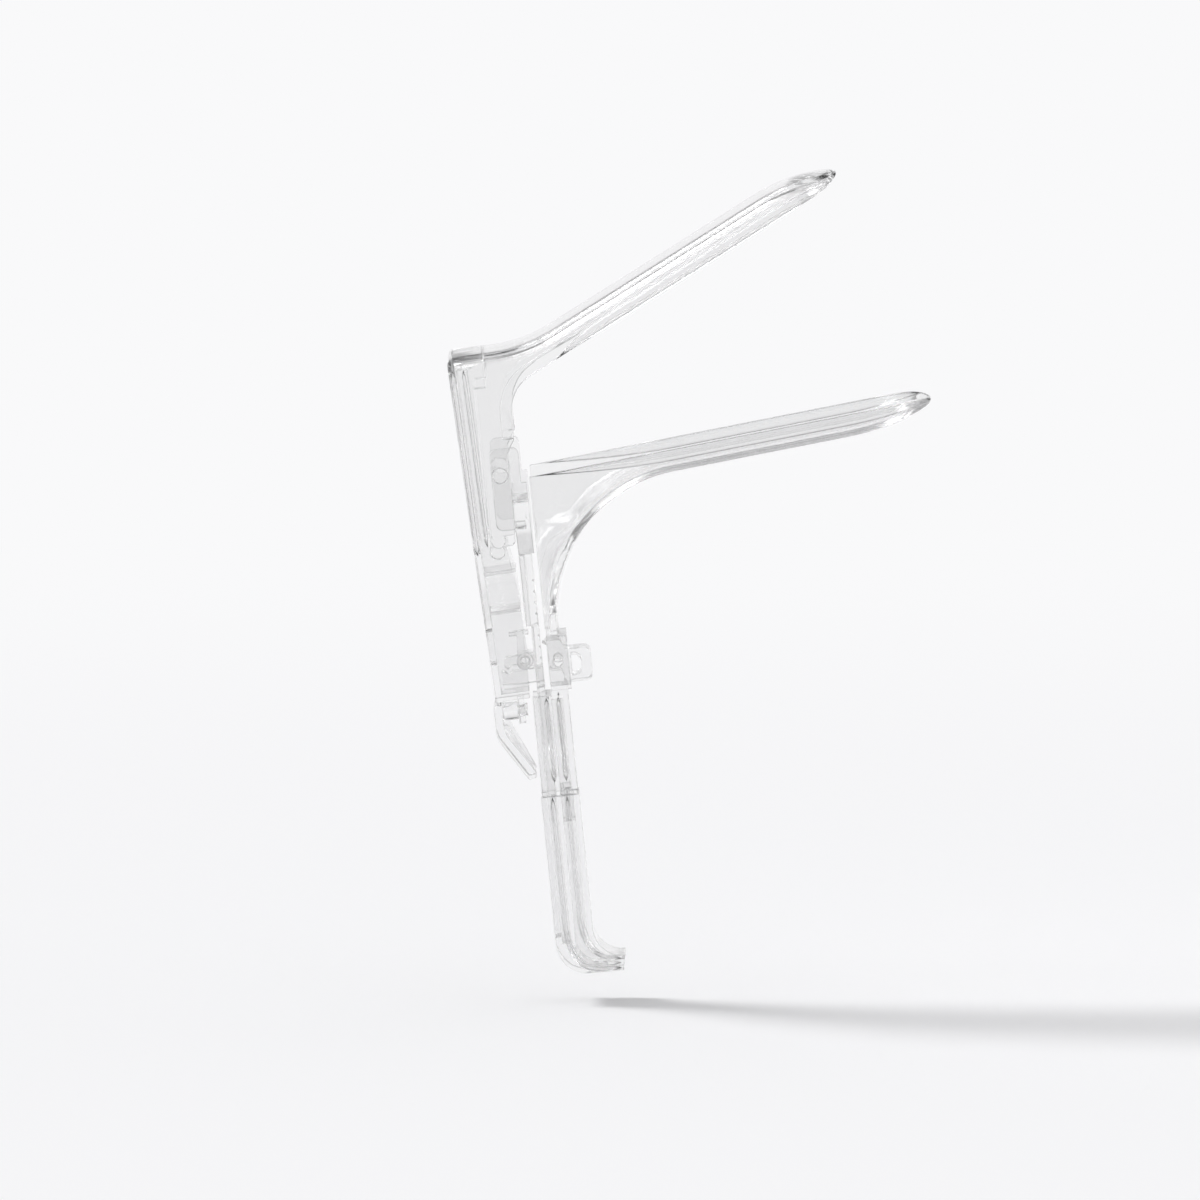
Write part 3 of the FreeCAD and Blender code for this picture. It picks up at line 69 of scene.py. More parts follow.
def add_node(
    tree: bpy.types.NodeTree, kind: str, settings: dict | None = None, inputs: dict | None = None,
) -> bpy.types.Node:
    """Adds one node with its settings, and its inputs set or linked.

    Args:
        tree: The node tree.
        kind: The node's type name.
        settings: Attributes of the node.
        inputs: For each input, by name or number, a value or the output socket that feeds it.

    Returns:
        The new node.
    """
    node = tree.nodes.new(kind)
    for name, value in (settings or {}).items():
        setattr(node, name, value)
    for name, value in (inputs or {}).items():
        if isinstance(value, bpy.types.NodeSocket):
            tree.links.new(value, node.inputs[name])
        else:
            node.inputs[name].default_value = value
    return node


class Polish(Enum):
    """How finely the steel of the mould was polished, as the roughness that it leaves."""

    MIRROR = 0.035
    FINE = 0.07


@dataclass(frozen=True)
class ClearStyrene:
    """General purpose polystyrene, injection moulded in a polished tool.

    The eye gets a water-clear body with a faint grey in thick places, sharp reflections that bend
    where the melt sank a little as it cooled, a slight haze where the flow fronts met, and edges that
    catch the light over a small round.
    """

    name: str
    polish: Polish = Polish.MIRROR
    body: str = "#F6F6F6"
    refraction: float = 1.5
    sink_mm: float = 9.0
    sink_rise_mm: float = 0.012
    sink_strength: float = 0.6
    haze_mm: float = 2.2
    haze: float = 0.35
    haze_between: tuple[float, float] = (0.3, 0.75)
    soft_edge_mm: float = 0.5

    def material(self) -> bpy.types.Material:
        """Builds the material, with all its patterns on the piece's own coordinates.

        Returns:
            The material.
        """
        material = bpy.data.materials.new(self.name)
        material.use_nodes = True
        tree = material.node_tree
        tree.nodes.clear()
        place = add_node(tree, "ShaderNodeTexCoord").outputs["Object"]
        sink = add_node(tree, "ShaderNodeTexNoise", inputs={
            "Vector": place, "Scale": 1 / (self.sink_mm * MM), "Detail": 1.0, "Roughness": 0.4,
        })
        haze = add_node(tree, "ShaderNodeTexNoise", inputs={
            "Vector": place, "Scale": 1 / (self.haze_mm * MM), "Detail": 3.0, "Roughness": 0.6,
        })
        low, high = self.haze_between
        rough = add_node(tree, "ShaderNodeMapRange", inputs={
            "Value": haze.outputs["Fac"], "From Min": low, "From Max": high,
            "To Min": self.polish.value * (1 - self.haze), "To Max": self.polish.value * (1 + self.haze),
        })
        edge = add_node(tree, "ShaderNodeBevel", {"samples": 4}, {"Radius": self.soft_edge_mm * MM})
        bump = add_node(tree, "ShaderNodeBump", inputs={
            "Height": sink.outputs["Fac"], "Strength": self.sink_strength,
            "Distance": self.sink_rise_mm * MM, "Normal": edge.outputs["Normal"],
        })
        shader = add_node(tree, "ShaderNodeBsdfPrincipled", inputs={
            "Base Color": linear(self.body), "IOR": self.refraction, "Transmission Weight": 1.0,
            "Roughness": rough.outputs["Result"], "Normal": bump.outputs["Normal"],
        })
        add_node(tree, "ShaderNodeOutputMaterial", inputs={"Surface": shader.outputs["BSDF"]})
        return material


@dataclass(frozen=True)
class Trough:
    """The straight run and closed tip of a blade, in the blade's own directions.

    Along runs with the rim from the end of the root's bend, up runs from the rim to the crown. The
    sizes of the rim, the slope, the straight and the tip's arc are those of the blade's solid. The
    nose narrows over nose_mm, its last closed_mm are solid, and the rim lifts over lift_run_mm.
    """

    rim_mm: tuple[float, float]
    slope_deg: float
    crown_up: float
    depth_mm: float
    half_mm: float
    straight_mm: float
    tip_radius_mm: float
    tip_turn_deg: float
    seam_mm: float
    nose_mm: float = 15.0
    nose_power: float = 2.4
    nose_end_share: float = 0.94
    shut_mm: float = 0.08
    closed_mm: float = 1.8
    lift_mm: float = 1.0
    lift_run_mm: float = 6.0
    band_mm: float = 3.0
    band_rise_mm: float = 0.5
    band_fade_mm: float = 9.0
    band_around: int = 16
    wall_most_mm: float = 2.6
    rim_wall_mm: float = 0.3
    narrow_share: float = 0.5
    reach_mm: float = 1.2
    reach_steps: int = 60
    straight_steps: int = 10
    bend_steps: int = 4
    nose_steps: int = 15
    band_steps: int = 16
    least_band_share: float = 0.2
    least_fade: float = 0.02

    def directions(self) -> tuple[np.ndarray, np.ndarray, np.ndarray]:
        """Works out the blade's own directions from its slope.

        Returns:
            The rim's start in metres, the way along the rim and the way from the rim to the crown.
        """
        slope = math.radians(self.slope_deg)
        start = np.array([self.rim_mm[0], 0.0, self.rim_mm[1]]) * MM
        along = np.array([math.cos(slope), 0.0, math.sin(slope)])
        up = np.array([-math.sin(slope), 0.0, math.cos(slope)]) * self.crown_up
        return start, along, up

    @property
    def end_mm(self) -> float:
        """How far along the rim the tip ends."""
        return self.straight_mm + self.tip_radius_mm * math.sin(math.radians(self.tip_turn_deg))

    def width_share(self, along: np.ndarray) -> np.ndarray:
        """The blade's width along the nose: a quarter of an ellipse with fuller corners.

        Args:
            along: Places along the rim, in millimetres.

        Returns:
            The width as a share of the full one.
        """
        into = np.clip((along - (self.end_mm - self.nose_mm)) / self.nose_mm, 0.0, 1.0)
        return (1.0 - into ** self.nose_power) ** (1.0 / self.nose_power)

    def crown_fall(self, along: np.ndarray) -> np.ndarray:
        """How far the crown has come down to the rim, in millimetres: the sagitta of the tip's arc."""
        run = np.clip(along - self.straight_mm, 0.0, None)
        return self.tip_radius_mm - np.sqrt(self.tip_radius_mm ** 2 - run ** 2)

    def rim_lift(self, along: np.ndarray) -> np.ndarray:
        """How far the rim curves up at the very tip, in millimetres: a square over its last stretch."""
        into = np.clip((along - (self.end_mm - self.lift_run_mm)) / self.lift_run_mm, 0.0, 1.0)
        return self.lift_mm * into ** 2

    def stations(self) -> np.ndarray:
        """Steps along the rim: even down the straight and the bend, then by equal turns of the nose.

        Returns:
            Places along the rim, in millimetres.
        """
        nose_from = self.end_mm - self.nose_mm
        straight = np.linspace(self.seam_mm, self.straight_mm, self.straight_steps)
        bend = np.linspace(self.straight_mm, nose_from, self.bend_steps)[1:]
        turns = np.linspace(0, np.pi / 2 * self.nose_end_share, self.nose_steps)[1:]
        nose = nose_from + self.nose_mm * np.sin(turns)
        return np.concatenate([straight, bend, nose])

    def lofted(self, loop: np.ndarray) -> tuple[np.ndarray, list[list[int]]]:
        """Carries the blade's own section down the straight and closes it at the tip.

        Each place of the section keeps its depth in the wall. Outside, its height falls with the
        crown and its width with the nose's ellipse. Inside, the hollow keeps the wall's thickness
        and ends before the nose does.

        Args:
            loop: The section's places in order, as rows of across and up, in millimetres.

        Returns:
            The vertices in metres and the faces, with the last ring closed by one.
        """
        along = self.stations()[:, None]
        across, up = loop[None, :, 0], loop[None, :, 1]
        crown = np.interp(np.abs(across), *self.crown_line(loop))
        wall = np.clip(np.minimum(self.half_mm - np.abs(across), crown - up), 0.0, self.wall_most_mm)
        width, fall, lift = self.width_share(along), self.crown_fall(along), self.rim_lift(along)
        thick = np.minimum(wall, self.narrow_share * self.half_mm * width)
        wide = across * (self.half_mm * width - thick) / (self.half_mm - wall)
        closing = self.end_mm - self.closed_mm - self.straight_mm
        shut = np.clip((along - self.straight_mm) / closing, 0.0, 1.0)
        share = np.where(wall > self.rim_wall_mm, np.sqrt(1.0 - shut ** 4), 1.0)
        top = np.clip(self.depth_mm - fall - wall, 0.0, None) * share
        high = lift + up / (self.depth_mm - wall) * np.clip(top - lift, self.shut_mm, None)
        start, way, rise = self.directions()
        places = (
            start + along[..., None] * MM * way + high[..., None] * MM * rise
            + wide[..., None] * MM * np.array([0.0, 1.0, 0.0])
        )
        count = loop.shape[0]
        faces = ring_quads(len(along), count).tolist()
        faces.append(list(range((len(along) - 1) * count, len(along) * count)))
        return places.reshape(-1, 3), faces

    def crown_line(self, loop: np.ndarray) -> tuple[np.ndarray, np.ndarray]:
        """The height of the section's outer line, as the highest place near each reach from the middle.

        Args:
            loop: The section's places, as rows of across and up, in millimetres.

        Returns:
            Places across, from the middle out, and the height over each.
        """
        reach = np.linspace(0.0, self.half_mm, self.reach_steps)
        near = np.abs(np.abs(loop[:, 0])[None, :] - reach[:, None]) < self.reach_mm
        height = np.where(near, loop[:, 1][None, :], -1.0).max(axis=1)
        return reach, height

    def band(self, back_mm: float) -> tuple[np.ndarray, list[list[int]]]:
        """The low rolled band outside the rim, from the cheek round the nose to the other cheek.

        An ellipse, as tall as the band and a little proud of the wall, is carried along the rim and
        grows from nothing over its first stretch.

        Args:
            back_mm: How far behind the rim's start the band begins.

        Returns:
            The vertices in metres and the faces, with both ends closed.
        """
        behind = np.linspace(-back_mm, self.seam_mm, self.band_steps)[:-1]
        side = np.concatenate([behind, self.stations()])
        along = np.concatenate([side, side[::-1]])
        hand = np.repeat([1.0, -1.0], len(side))
        half = self.half_mm * self.width_share(along)
        edge = np.stack([along, half * hand], 1)
        run = np.gradient(edge, axis=0)
        run /= np.linalg.norm(run, axis=1, keepdims=True)
        # square to the rim, turned to the side that looks away from the middle
        out = np.stack([-run[:, 1], run[:, 0]], 1)
        outward = np.stack([np.full_like(along, 0.01), hand], 1)
        out *= np.where((out * outward).sum(1) < 0, -1.0, 1.0)[:, None]
        turn = np.linspace(0, 2 * np.pi, self.band_around, endpoint=False)
        proud = self.band_rise_mm * np.sin(turn)
        height = self.band_mm / 2 * (1 + np.cos(turn))
        left = (self.depth_mm - self.crown_fall(along)) / self.depth_mm
        room = np.clip(left, self.least_band_share, 1.0)
        grown = np.clip((along + back_mm) / self.band_fade_mm, self.least_fade, 1.0)
        fade = np.sin(grown * np.pi / 2)
        flat = edge[:, None, :] + out[:, None, :] * (fade[:, None] * proud)[..., None]
        high = self.rim_lift(along)[:, None] + height[None, :] * (room * fade)[:, None]
        start, way, rise = self.directions()
        places = (
            start + flat[..., :1] * MM * way + high[..., None] * MM * rise
            + flat[..., 1:] * MM * np.array([0.0, 1.0, 0.0])
        )
        return places.reshape(-1, 3), closed_tube(len(along), self.band_around)


@dataclass(frozen=True)
class Rib:
    """A low half-round rib down both sides of a moulding, drawn as a path seen from the side."""

    path_mm: tuple[tuple[float, float], ...]
    half_mm: float
    wide_mm: float = 1.3
    proud_mm: float = 0.35
    taper_mm: float = 2.0
    least_share: float = 0.08
    end_step_mm: float = 0.3
    stops: int = 28
    around: int = 12

    def surface(self) -> tuple[np.ndarray, list[list[int]]]:
        """An ellipse carried along the path, narrowing to its ends, on either side.

        Returns:
            The vertices in metres and the faces, with all ends closed.
        """
        corners = np.array(self.path_mm)
        far = np.concatenate([[0.0], np.cumsum(np.linalg.norm(np.diff(corners, axis=0), axis=1))])
        length = far[-1]
        near_ends = [self.end_step_mm, length - self.end_step_mm]
        stops = np.unique(np.concatenate([np.linspace(0, length, self.stops), near_ends]))
        line = np.stack([np.interp(stops, far, corners[:, 0]), np.interp(stops, far, corners[:, 1])], 1)
        run = np.gradient(line, axis=0)
        run /= np.linalg.norm(run, axis=1, keepdims=True)
        beside = np.stack([-run[:, 1], run[:, 0]], 1)
        turn = np.linspace(0, 2 * np.pi, self.around, endpoint=False)
        from_end = np.minimum(stops, length - stops) / self.taper_mm
        narrow = np.sin(np.clip(from_end, self.least_share, 1.0) * np.pi / 2)
        half_wide = narrow[:, None] * self.wide_mm / 2 * np.cos(turn)
        flat = line[:, None, :] + beside[:, None, :] * half_wide[..., None]
        out = self.proud_mm * narrow[:, None] * np.sin(turn)
        faces = closed_tube(len(stops), self.around)
        both = [
            np.stack([flat[..., 0], hand * (self.half_mm + out), flat[..., 1]], -1).reshape(-1, 3)
            for hand in (1.0, -1.0)
        ]
        far_side = [[index + len(both[0]) for index in face[::-1]] for face in faces]
        return np.concatenate(both) * MM, faces + far_side


def ring_quads(rings: int, around: int) -> np.ndarray:
    """The quads between rings of places that each close on themselves.

    Args:
        rings: How many rings there are.
        around: How many places a ring has.

    Returns:
        One quad to a row.
    """
    ring, place = np.meshgrid(np.arange(rings - 1), np.arange(around), indexing="ij")
    following = (place + 1) % around
    return np.stack([
        ring * around + place, ring * around + following,
        (ring + 1) * around + following, (ring + 1) * around + place,
    ], -1).reshape(-1, 4)


def closed_tube(rings: int, around: int) -> list[list[int]]:
    """The faces of a tube of rings with both of its ends closed."""
    last = range((rings - 1) * around, rings * around)
    return ring_quads(rings, around).tolist() + [list(range(around))[::-1], list(last)]


def ordered_loop(edges: list[bmesh.types.BMEdge]) -> np.ndarray:
    """Follows one closed chain of edges.

    Args:
        edges: The edges, in any order.

    Returns:
        The places of their ends in order, in metres.
    """
    beside: dict[int, list] = {}
    for edge in edges:
        one, other = edge.verts
        beside.setdefault(one.index, []).append(other)
        beside.setdefault(other.index, []).append(one)
    first = edges[0].verts[0]
    chain, before = [first], None
    while True:
        onward = [vert for vert in beside[chain[-1].index] if vert is not before]
        before = chain[-1]
        if onward[0] is first or len(chain) > len(edges):
            break
        chain.append(onward[0])
    return np.array([vert.co[:] for vert in chain])


@dataclass
class Moulding:
    """One moulded piece: a welded copy of its solid with the mould's small round on its edges."""

    node: str
    finish: ClearStyrene
    round_mm: float = 0.2
    round_steps: int = 2
    crease_deg: float = 32.0
    flat_deg: float = 0.4
    merge_flat: bool = True
    ribs: tuple[Rib, ...] = ()

    def build(self, body: str, materials: dict[str, bpy.types.Material]) -> bpy.types.Object:
        """Makes the piece, puts it on its body and hides the solid that it stands for.

        Args:
            body: The body that carries it.
            materials: The materials by name.

        Returns:
            The piece.
        """
        mesh = bpy.data.meshes.new(self.node + "_moulding")
        form = bmesh.new()
        form.from_mesh(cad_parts[self.node].data)
        bmesh.ops.remove_doubles(form, verts=form.verts, dist=WELD)
        if self.merge_flat:
            bmesh.ops.dissolve_limit(
                form, angle_limit=math.radians(self.flat_deg), verts=form.verts, edges=form.edges,
                delimit={"NORMAL"},
            )
        self.shape(form)
        for rib in self.ribs:
            self.add_mesh(form, *rib.surface())
        if self.ribs:
            bmesh.ops.recalc_face_normals(form, faces=form.faces)
        form.to_mesh(mesh)
        form.free()
        mesh.shade_smooth()
        mesh.set_sharp_from_angle(angle=math.radians(self.crease_deg))
        piece = bpy.data.objects.new(self.node + "_moulding", mesh)
        bpy.context.scene.collection.objects.link(piece)
        mesh.materials.clear()
        mesh.materials.append(materials[self.finish.name])
        if self.round_mm:
            self.round_edges(piece)
        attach(piece, body)
        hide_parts(self.node)
        LOG.info("%s: %d faces", piece.name, len(mesh.polygons))
        return piece

    def shape(self, form: bmesh.types.BMesh) -> None:
        """Changes the welded copy where a piece needs it; a plain moulding stays as it is."""

    def round_edges(self, piece: bpy.types.Object) -> None:
        """Rounds the sharp edges of a piece as the polish of the mould leaves them.

        Args:
            piece: The piece, still with sharp edges.
        """
        bevel = piece.modifiers.new("edge round", "BEVEL")
        bevel.width = self.round_mm * MM
        bevel.segments = self.round_steps
        bevel.limit_method = "ANGLE"
        bevel.angle_limit = math.radians(self.crease_deg)
        bevel.use_clamp_overlap = True
        bevel.harden_normals = True

    @staticmethod
    def add_mesh(form: bmesh.types.BMesh, verts: np.ndarray, faces: list[list[int]]) -> None:
        """Adds worked out vertices and faces to a form.

        Args:
            form: The form that takes them.
            verts: The vertices, in metres.
            faces: Each face's vertices by number.
        """
        extra = bpy.data.meshes.new("extra")
        extra.from_pydata(verts.tolist(), [], faces)
        form.from_mesh(extra)
        bpy.data.meshes.remove(extra)


@dataclass
class Blade(Moulding):
    """A moulding whose trough ends in a closed nose and has a rolled band along its rim.

    Its edges get their round from the finish alone, because the steps of the nose are finer than it.
    """

    trough: Trough | None = None
    band_back_mm: float = 0.0
    round_mm: float = 0.0
    cut_mm: float = 1e-4
    seam_weld_mm: float = 2e-3

    def shape(self, form: bmesh.types.BMesh) -> None:
        """Takes the straight and the tip off and carries the blade's own section on to the nose.

        Args:
            form: The welded copy of the blade's solid.
        """
        start, way, rise = self.trough.directions()
        seam = start + way * self.trough.seam_mm * MM
        form.verts.ensure_lookup_table()
        cut = bmesh.ops.bisect_plane(
            form, geom=form.verts[:] + form.edges[:] + form.faces[:], dist=self.cut_mm * MM,
            plane_co=seam, plane_no=way, clear_outer=True,
        )
        form.verts.index_update()
        edges = [item for item in cut["geom_cut"] if isinstance(item, bmesh.types.BMEdge)]
        places = ordered_loop([edge for edge in edges if edge.is_boundary]) - start
        loop = np.stack([places[:, 1], places @ rise], 1) / MM
        LOG.info("%s: section of %d places", self.node, len(loop))
        self.add_mesh(form, *self.trough.lofted(loop))
        bmesh.ops.remove_doubles(form, verts=form.verts, dist=self.seam_weld_mm * MM)
        bmesh.ops.recalc_face_normals(form, faces=form.faces)
        self.add_mesh(form, *self.trough.band(self.band_back_mm))
        bmesh.ops.recalc_face_normals(form, faces=form.faces)


@dataclass(frozen=True)
class SoftBox:
    """A square lamp that only the gloss of the plastic sees, never the floor.

    Way points from the object to the lamp, as shares of the room's right, up and front.
    """

    name: str
    way: tuple[float, float, float]
    away_mm: float
    side_mm: float
    watts: float


@dataclass(frozen=True)
class Key:
    """Even light from far off, which leaves the long soft shadow; its spread sets the softness."""

    way: tuple[float, float, float] = (-0.8, 0.95, -0.31)
    spread_deg: float = 20.0
    strength: float = 1.5


@dataclass(frozen=True)
class Room:
    """What surrounds the object: the light of the room, and what gloss and clear plastic see.

    Gloss and clear plastic see the paper low down, a greyer ceiling above it and soft darker
    stripes round about, which draw the lines along edges. The paper itself is a strength of 1.
    """

    light: float = 0.65
    ceiling_from: float = 0.12
    ceiling_to: float = 0.75
    ceiling: float = 0.65
    stripes: float = 8.0
    stripe: float = 0.15
    stripe_ends: float = 0.2


@dataclass
class Studio:
    """Pale floor, soft lamps and the camera where the photograph was taken from."""

    aim_mm: tuple[float, float, float] = (15.6, 0.0, 65.4)
    span_mm: float = 320.0
    distance_mm: float = 5000.0
    roll_deg: float = 5.7
    elevation_deg: float = 6.0
    sensor_mm: float = 36.0
    far_mm: float = 20000.0
    floor_drop_mm: float = 41.0
    floor_radius_mm: float = 4000.0
    floor_rings: int = 24
    floor_turns: int = 96
    fade_mm: tuple[float, float] = (450.0, 1200.0)
    paper: str = "#F9F9FA"
    key: Key = Key()
    room: Room = Room()
    boxes: tuple[SoftBox, ...] = (
        SoftBox("box_left", (-0.7, 0.8, 0.9), 900.0, 500.0, 6.0),
        SoftBox("box_right", (0.9, 0.5, 0.8), 1000.0, 400.0, 4.0),
    )
    bounces: int = 32
    gloss_bounces: int = 12

    def axes(self) -> tuple[np.ndarray, np.ndarray, np.ndarray]:
        """Works out the room's directions from the photograph's roll.

        Returns:
            The photograph's right, the true up of the room and the level way towards the camera.
        """
        roll = math.radians(self.roll_deg)
        right = np.array([math.cos(roll), 0.0, -math.sin(roll)])
        up = np.array([math.sin(roll), 0.0, math.cos(roll)])
        return right, up, np.array([0.0, -1.0, 0.0])

    def camera(self) -> None:
        """Stands the camera at the photograph's angle."""
        right, up, front = self.axes()
        tilt = math.radians(self.elevation_deg)
        back = math.cos(tilt) * front + math.sin(tilt) * up
        top = math.cos(tilt) * up - math.sin(tilt) * front
        place = np.array(self.aim_mm) * MM + back * self.distance_mm * MM
        lens = bpy.data.cameras.new("camera")
        lens.sensor_width = self.sensor_mm
        lens.lens = self.sensor_mm * self.distance_mm / self.span_mm
        lens.clip_end = self.far_mm * MM
        camera = bpy.data.objects.new("camera", lens)
        camera.matrix_world = Matrix(np.vstack([
            np.column_stack([right, top, back, place]), [0.0, 0.0, 0.0, 1.0],
        ]).tolist())
        bpy.context.scene.collection.objects.link(camera)
        bpy.context.scene.camera = camera

    def floor(self) -> None:
        """Lays the floor under the grip, square to the room's up.

        It is a disc worked out on a grid of radius and angle, with the radius growing by the square
        from ring to ring. Far from the object it fades into the paper's own light, so no horizon shows.
        """
        right, up, front = self.axes()
        centre = -up * self.floor_drop_mm * MM
        turns = self.floor_turns
        radius = np.linspace(0.0, 1.0, self.floor_rings)[1:] ** 2 * self.floor_radius_mm * MM
        angle = np.linspace(0.0, 2 * np.pi, turns, endpoint=False)
        ring, turn = np.meshgrid(radius, angle, indexing="ij")
        sideways, onward = ring * np.cos(turn), ring * np.sin(turn)
        spots = (centre + sideways[..., None] * right - onward[..., None] * front).reshape(-1, 3)
        quads = ring_quads(self.floor_rings - 1, turns)[:, ::-1]
        mesh = bpy.data.meshes.new("floor")
        mesh.from_pydata(spots.tolist(), [], quads.tolist() + [list(range(turns))])
        mesh.update()
        floor = bpy.data.objects.new("floor", mesh)
        bpy.context.scene.collection.objects.link(floor)
        mesh.materials.append(self.floor_paper(centre))

    def floor_paper(self, centre: np.ndarray) -> bpy.types.Material:
        """White paper that takes the shadow and fades into its own light far away.

        Args:
            centre: The floor's middle, in metres.

        Returns:
            The material.
        """
        material = bpy.data.materials.new("background_paper")
        material.use_nodes = True
        tree = material.node_tree
        tree.nodes.clear()
        place = add_node(tree, "ShaderNodeTexCoord").outputs["Object"]
        away = add_node(tree, "ShaderNodeVectorMath", {"operation": "DISTANCE"}, {
            0: place, 1: tuple(centre),
        })
        near, far = self.fade_mm
        fade = add_node(tree, "ShaderNodeMapRange", {"interpolation_type": "SMOOTHSTEP"}, {
            "Value": away.outputs["Value"], "From Min": near * MM, "From Max": far * MM,
        })
        lit = add_node(tree, "ShaderNodeBsdfDiffuse", inputs={"Color": linear(self.paper)})
        glow = add_node(tree, "ShaderNodeEmission", inputs={
            "Color": linear(self.paper), "Strength": 1.0,
        })
        mixed = add_node(tree, "ShaderNodeMixShader", inputs={
            0: fade.outputs["Result"], 1: lit.outputs["BSDF"], 2: glow.outputs["Emission"],
        })
        add_node(tree, "ShaderNodeOutputMaterial", inputs={"Surface": mixed.outputs["Shader"]})
        return material

    def world(self) -> None:
        """Room light, with the paper behind what is seen directly and the striped room in gloss."""
        world = bpy.data.worlds.new("studio")
        bpy.context.scene.world = world
        world.use_nodes = True
        tree = world.node_tree
        tree.nodes.clear()
        path = add_node(tree, "ShaderNodeLightPath")
        seen = add_node(tree, "ShaderNodeMath", {"operation": "MAXIMUM"}, {
            0: path.outputs["Is Glossy Ray"], 1: path.outputs["Is Transmission Ray"],
        })
        light = {"Color": linear(self.paper)}
        room = add_node(tree, "ShaderNodeBackground", inputs=light | {"Strength": self.room.light})
        paper = add_node(tree, "ShaderNodeBackground", inputs=light | {"Strength": 1.0})
        striped = add_node(tree, "ShaderNodeBackground", inputs=light | {"Strength": self.stripes(tree)})
        around = add_node(tree, "ShaderNodeMixShader", inputs={
            0: seen.outputs[0], 1: room.outputs[0], 2: striped.outputs[0],
        })
        final = add_node(tree, "ShaderNodeMixShader", inputs={
            0: path.outputs["Is Camera Ray"], 1: around.outputs[0], 2: paper.outputs[0],
        })
        add_node(tree, "ShaderNodeOutputWorld", inputs={"Surface": final.outputs[0]})

    def stripes(self, tree: bpy.types.NodeTree) -> bpy.types.NodeSocket:
        """How bright the room looks in gloss: a greyer ceiling times a cosine round the compass.

        Args:
            tree: The world's node tree.

        Returns:
            The socket that gives the strength.
        """
        way = add_node(tree, "ShaderNodeTexCoord").outputs["Generated"]
        part = add_node(tree, "ShaderNodeSeparateXYZ", inputs={0: way})
        ceiling = add_node(tree, "ShaderNodeMapRange", {"interpolation_type": "SMOOTHSTEP"}, {
            "Value": part.outputs["Z"], "From Min": self.room.ceiling_from,
            "From Max": self.room.ceiling_to, "To Min": 1.0, "To Max": self.room.ceiling,
        })
        compass = add_node(tree, "ShaderNodeMath", {"operation": "ARCTAN2"}, {
            0: part.outputs["Y"], 1: part.outputs["X"],
        })
        turn = add_node(tree, "ShaderNodeMath", {"operation": "MULTIPLY"}, {
            0: compass.outputs[0], 1: self.room.stripes,
        })
        wave = add_node(tree, "ShaderNodeMath", {"operation": "COSINE"}, {0: turn.outputs[0]})
        stripe = add_node(tree, "ShaderNodeMapRange", inputs={
            "Value": wave.outputs[0], "From Min": -1.0, "From Max": self.room.stripe_ends,
            "To Min": self.room.stripe, "To Max": 1.0,
        })
        both = add_node(tree, "ShaderNodeMath", {"operation": "MULTIPLY"}, {
            0: ceiling.outputs["Result"], 1: stripe.outputs["Result"],
        })
        return both.outputs[0]

    def lamp(self, light: bpy.types.Light, way: tuple[float, float, float]) -> bpy.types.Object:
        """Adds a lamp that shines on the object from a given side.

        Args:
            light: The lamp's light.
            way: From the object towards the lamp, as shares of right, up and front.

        Returns:
            The lamp, still at the origin.
        """
        toward = way @ np.array(self.axes())
        lamp = bpy.data.objects.new(light.name, light)
        lamp.rotation_euler = Vector(toward).to_track_quat("Z", "Y").to_euler()
        bpy.context.scene.collection.objects.link(lamp)
        return lamp

    def lights(self) -> None:
        """Adds the key light and the soft boxes."""
        sun = bpy.data.lights.new("key", "SUN")
        sun.energy = self.key.strength
        sun.angle = math.radians(self.key.spread_deg)
        self.lamp(sun, self.key.way)
        for box in self.boxes:
            light = bpy.data.lights.new(box.name, "AREA")
            light.size = box.side_mm * MM
            light.energy = box.watts
            lamp = self.lamp(light, box.way)
            toward = box.way @ np.array(self.axes())
            away = toward / np.linalg.norm(toward) * box.away_mm
            lamp.location = (np.array(self.aim_mm) + away) * MM
            lamp.visible_camera = False
            lamp.visible_diffuse = False

    def build(self) -> None:
        """Sets up the whole studio."""
        self.camera()
        self.floor()
        self.world()
        self.lights()
        scene = bpy.context.scene
        scene.view_settings.view_transform = "Standard"
        scene.cycles.max_bounces = self.bounces
        scene.cycles.transmission_bounces = self.bounces
        scene.cycles.glossy_bounces = self.gloss_bounces


# the blades and the grip come from a mirror-polished tool, the small works from a finely lapped one
BLADE = ClearStyrene("clear_styrene_blade", Polish.MIRROR)
WORKS = ClearStyrene("clear_styrene_works", Polish.FINE, sink_mm=6.0)


@dataclass
class SubAssembly:
    """The mouldings that one body carries."""

    body: str

    def mouldings(self) -> tuple[Moulding, ...]:
        """The mouldings, from the sub-assembly's own sizes."""
        raise NotImplementedError

    def build(self, materials: dict[str, bpy.types.Material]) -> None:
        """Builds each moulding of the body.

        Args:
            materials: The materials by name.
        """
        for moulding in self.mouldings():
            moulding.build(self.body, materials)


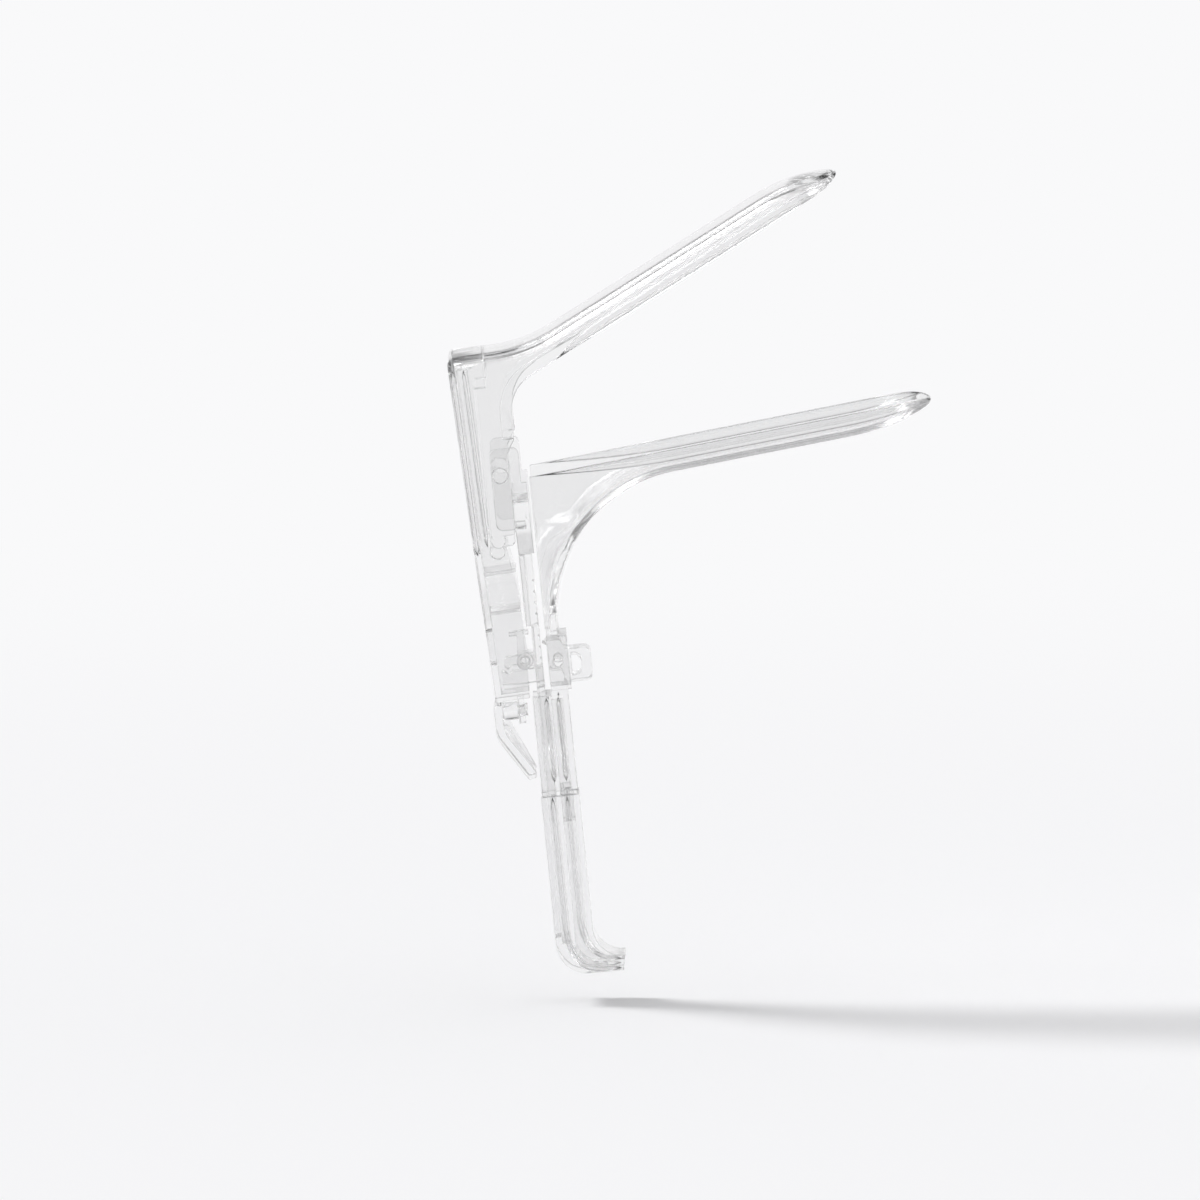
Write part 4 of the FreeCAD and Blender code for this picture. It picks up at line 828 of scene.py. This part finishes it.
@dataclass
class Upper(SubAssembly):
    """The blade that tilts, the frame behind it, its thumb lever and the rack of its tilt."""

    body: str = "upper"
    trough: Trough = Trough(
        rim_mm=(13.246, 133.370), slope_deg=26.6, crown_up=1.0, depth_mm=7.9, half_mm=15.0,
        straight_mm=64.8, tip_radius_mm=41.5, tip_turn_deg=29.8, seam_mm=10.0, band_fade_mm=16.0,
    )
    band_back_mm: float = 3.0
    frame_half_mm: float = 15.0
    frame_back_mm: tuple[tuple[float, float], ...] = ((-15.4, 82.0), (-17.2, 131.5))
    frame_middle_mm: tuple[tuple[float, float], ...] = ((-12.6, 84.0), (-14.3, 131.5))

    def mouldings(self) -> tuple[Moulding, ...]:
        """Gives the frame two ribs down each side.

        Returns:
            The mouldings of the upper body.
        """
        ribs = (
            Rib(self.frame_back_mm, self.frame_half_mm),
            Rib(self.frame_middle_mm, self.frame_half_mm, wide_mm=1.0),
        )
        return (
            Blade("upper_blade", BLADE, trough=self.trough, band_back_mm=self.band_back_mm),
            Moulding("lever_frame", WORKS, ribs=ribs),
            Moulding("thumb_lever", WORKS),
            Moulding("tilt_rack", WORKS),
        )


@dataclass
class Handle(SubAssembly):
    """The lower blade with the collar and the sleeve in one, the grip and the pin of the latch."""

    body: str = "handle"
    trough: Trough = Trough(
        rim_mm=(37.94, 105.24), slope_deg=5.5, crown_up=-1.0, depth_mm=7.15, half_mm=17.1,
        straight_mm=46.9, tip_radius_mm=64.0, tip_turn_deg=21.6, seam_mm=6.0, band_fade_mm=38.0,
    )
    band_back_mm: float = 36.0
    half_mm: float = 8.5
    sleeve_z_mm: tuple[float, float] = (19.0, 41.5)
    sleeve_x_mm: tuple[float, float] = (-1.2, 2.0)
    grip_back_mm: tuple[tuple[float, float], ...] = (
        (-2.2, 14.8), (-2.2, -21.0), (-1.5, -26.0), (0.6, -30.0), (3.8, -32.0), (11.5, -32.4),
    )
    grip_front_mm: tuple[tuple[float, float], ...] = (
        (1.7, 14.8), (1.7, -19.0), (2.4, -23.5), (4.4, -27.2), (7.4, -29.2), (11.8, -29.9),
    )

    def mouldings(self) -> tuple[Moulding, ...]:
        """Gives the sleeve and the grip two ribs down each side.

        Returns:
            The mouldings of the handle.
        """
        low, high = self.sleeve_z_mm
        back, front = self.sleeve_x_mm
        sleeve_ribs = (
            Rib(((back, low), (back, high)), self.half_mm),
            Rib(((front, low), (front, high)), self.half_mm, wide_mm=1.0),
        )
        grip_ribs = (
            Rib(self.grip_back_mm, self.half_mm),
            Rib(self.grip_front_mm, self.half_mm, wide_mm=1.0),
        )
        return (
            Blade("lower_blade", BLADE, trough=self.trough, band_back_mm=self.band_back_mm,
                  ribs=sleeve_ribs),
            Moulding("handle_grip", BLADE, ribs=grip_ribs),
            Moulding("latch_pin", WORKS),
        )


@dataclass
class Slide(SubAssembly):
    """The upright with the trunnions, and the pin of the pawl."""

    body: str = "slide"

    def mouldings(self) -> tuple[Moulding, ...]:
        """The mouldings of the slide."""
        return Moulding("slide", WORKS), Moulding("pawl_pin", WORKS)


@dataclass
class HeightLatch(SubAssembly):
    """The latch in the collar, whose narrow flats keep their own triangles under the round."""

    body: str = "latch"
    round_mm: float = 0.15

    def mouldings(self) -> tuple[Moulding, ...]:
        """The latch alone."""
        return (Moulding("height_latch", WORKS, round_mm=self.round_mm, merge_flat=False),)


@dataclass
class TiltPawl(SubAssembly):
    """The pawl that drops into the rack."""

    body: str = "pawl"

    def mouldings(self) -> tuple[Moulding, ...]:
        """The pawl alone."""
        return (Moulding("tilt_pawl", WORKS),)


def main() -> None:
    """Builds the materials, the sub-assemblies and the studio, and reports each piece."""
    logging.basicConfig(level=logging.INFO, format="%(name)s %(message)s")
    materials = {finish.name: finish.material() for finish in (BLADE, WORKS)}
    for assembly in (Upper(), Handle(), Slide(), HeightLatch(), TiltPawl()):
        assembly.build(materials)
    Studio().build()


if __name__ == "__main__":
    main()
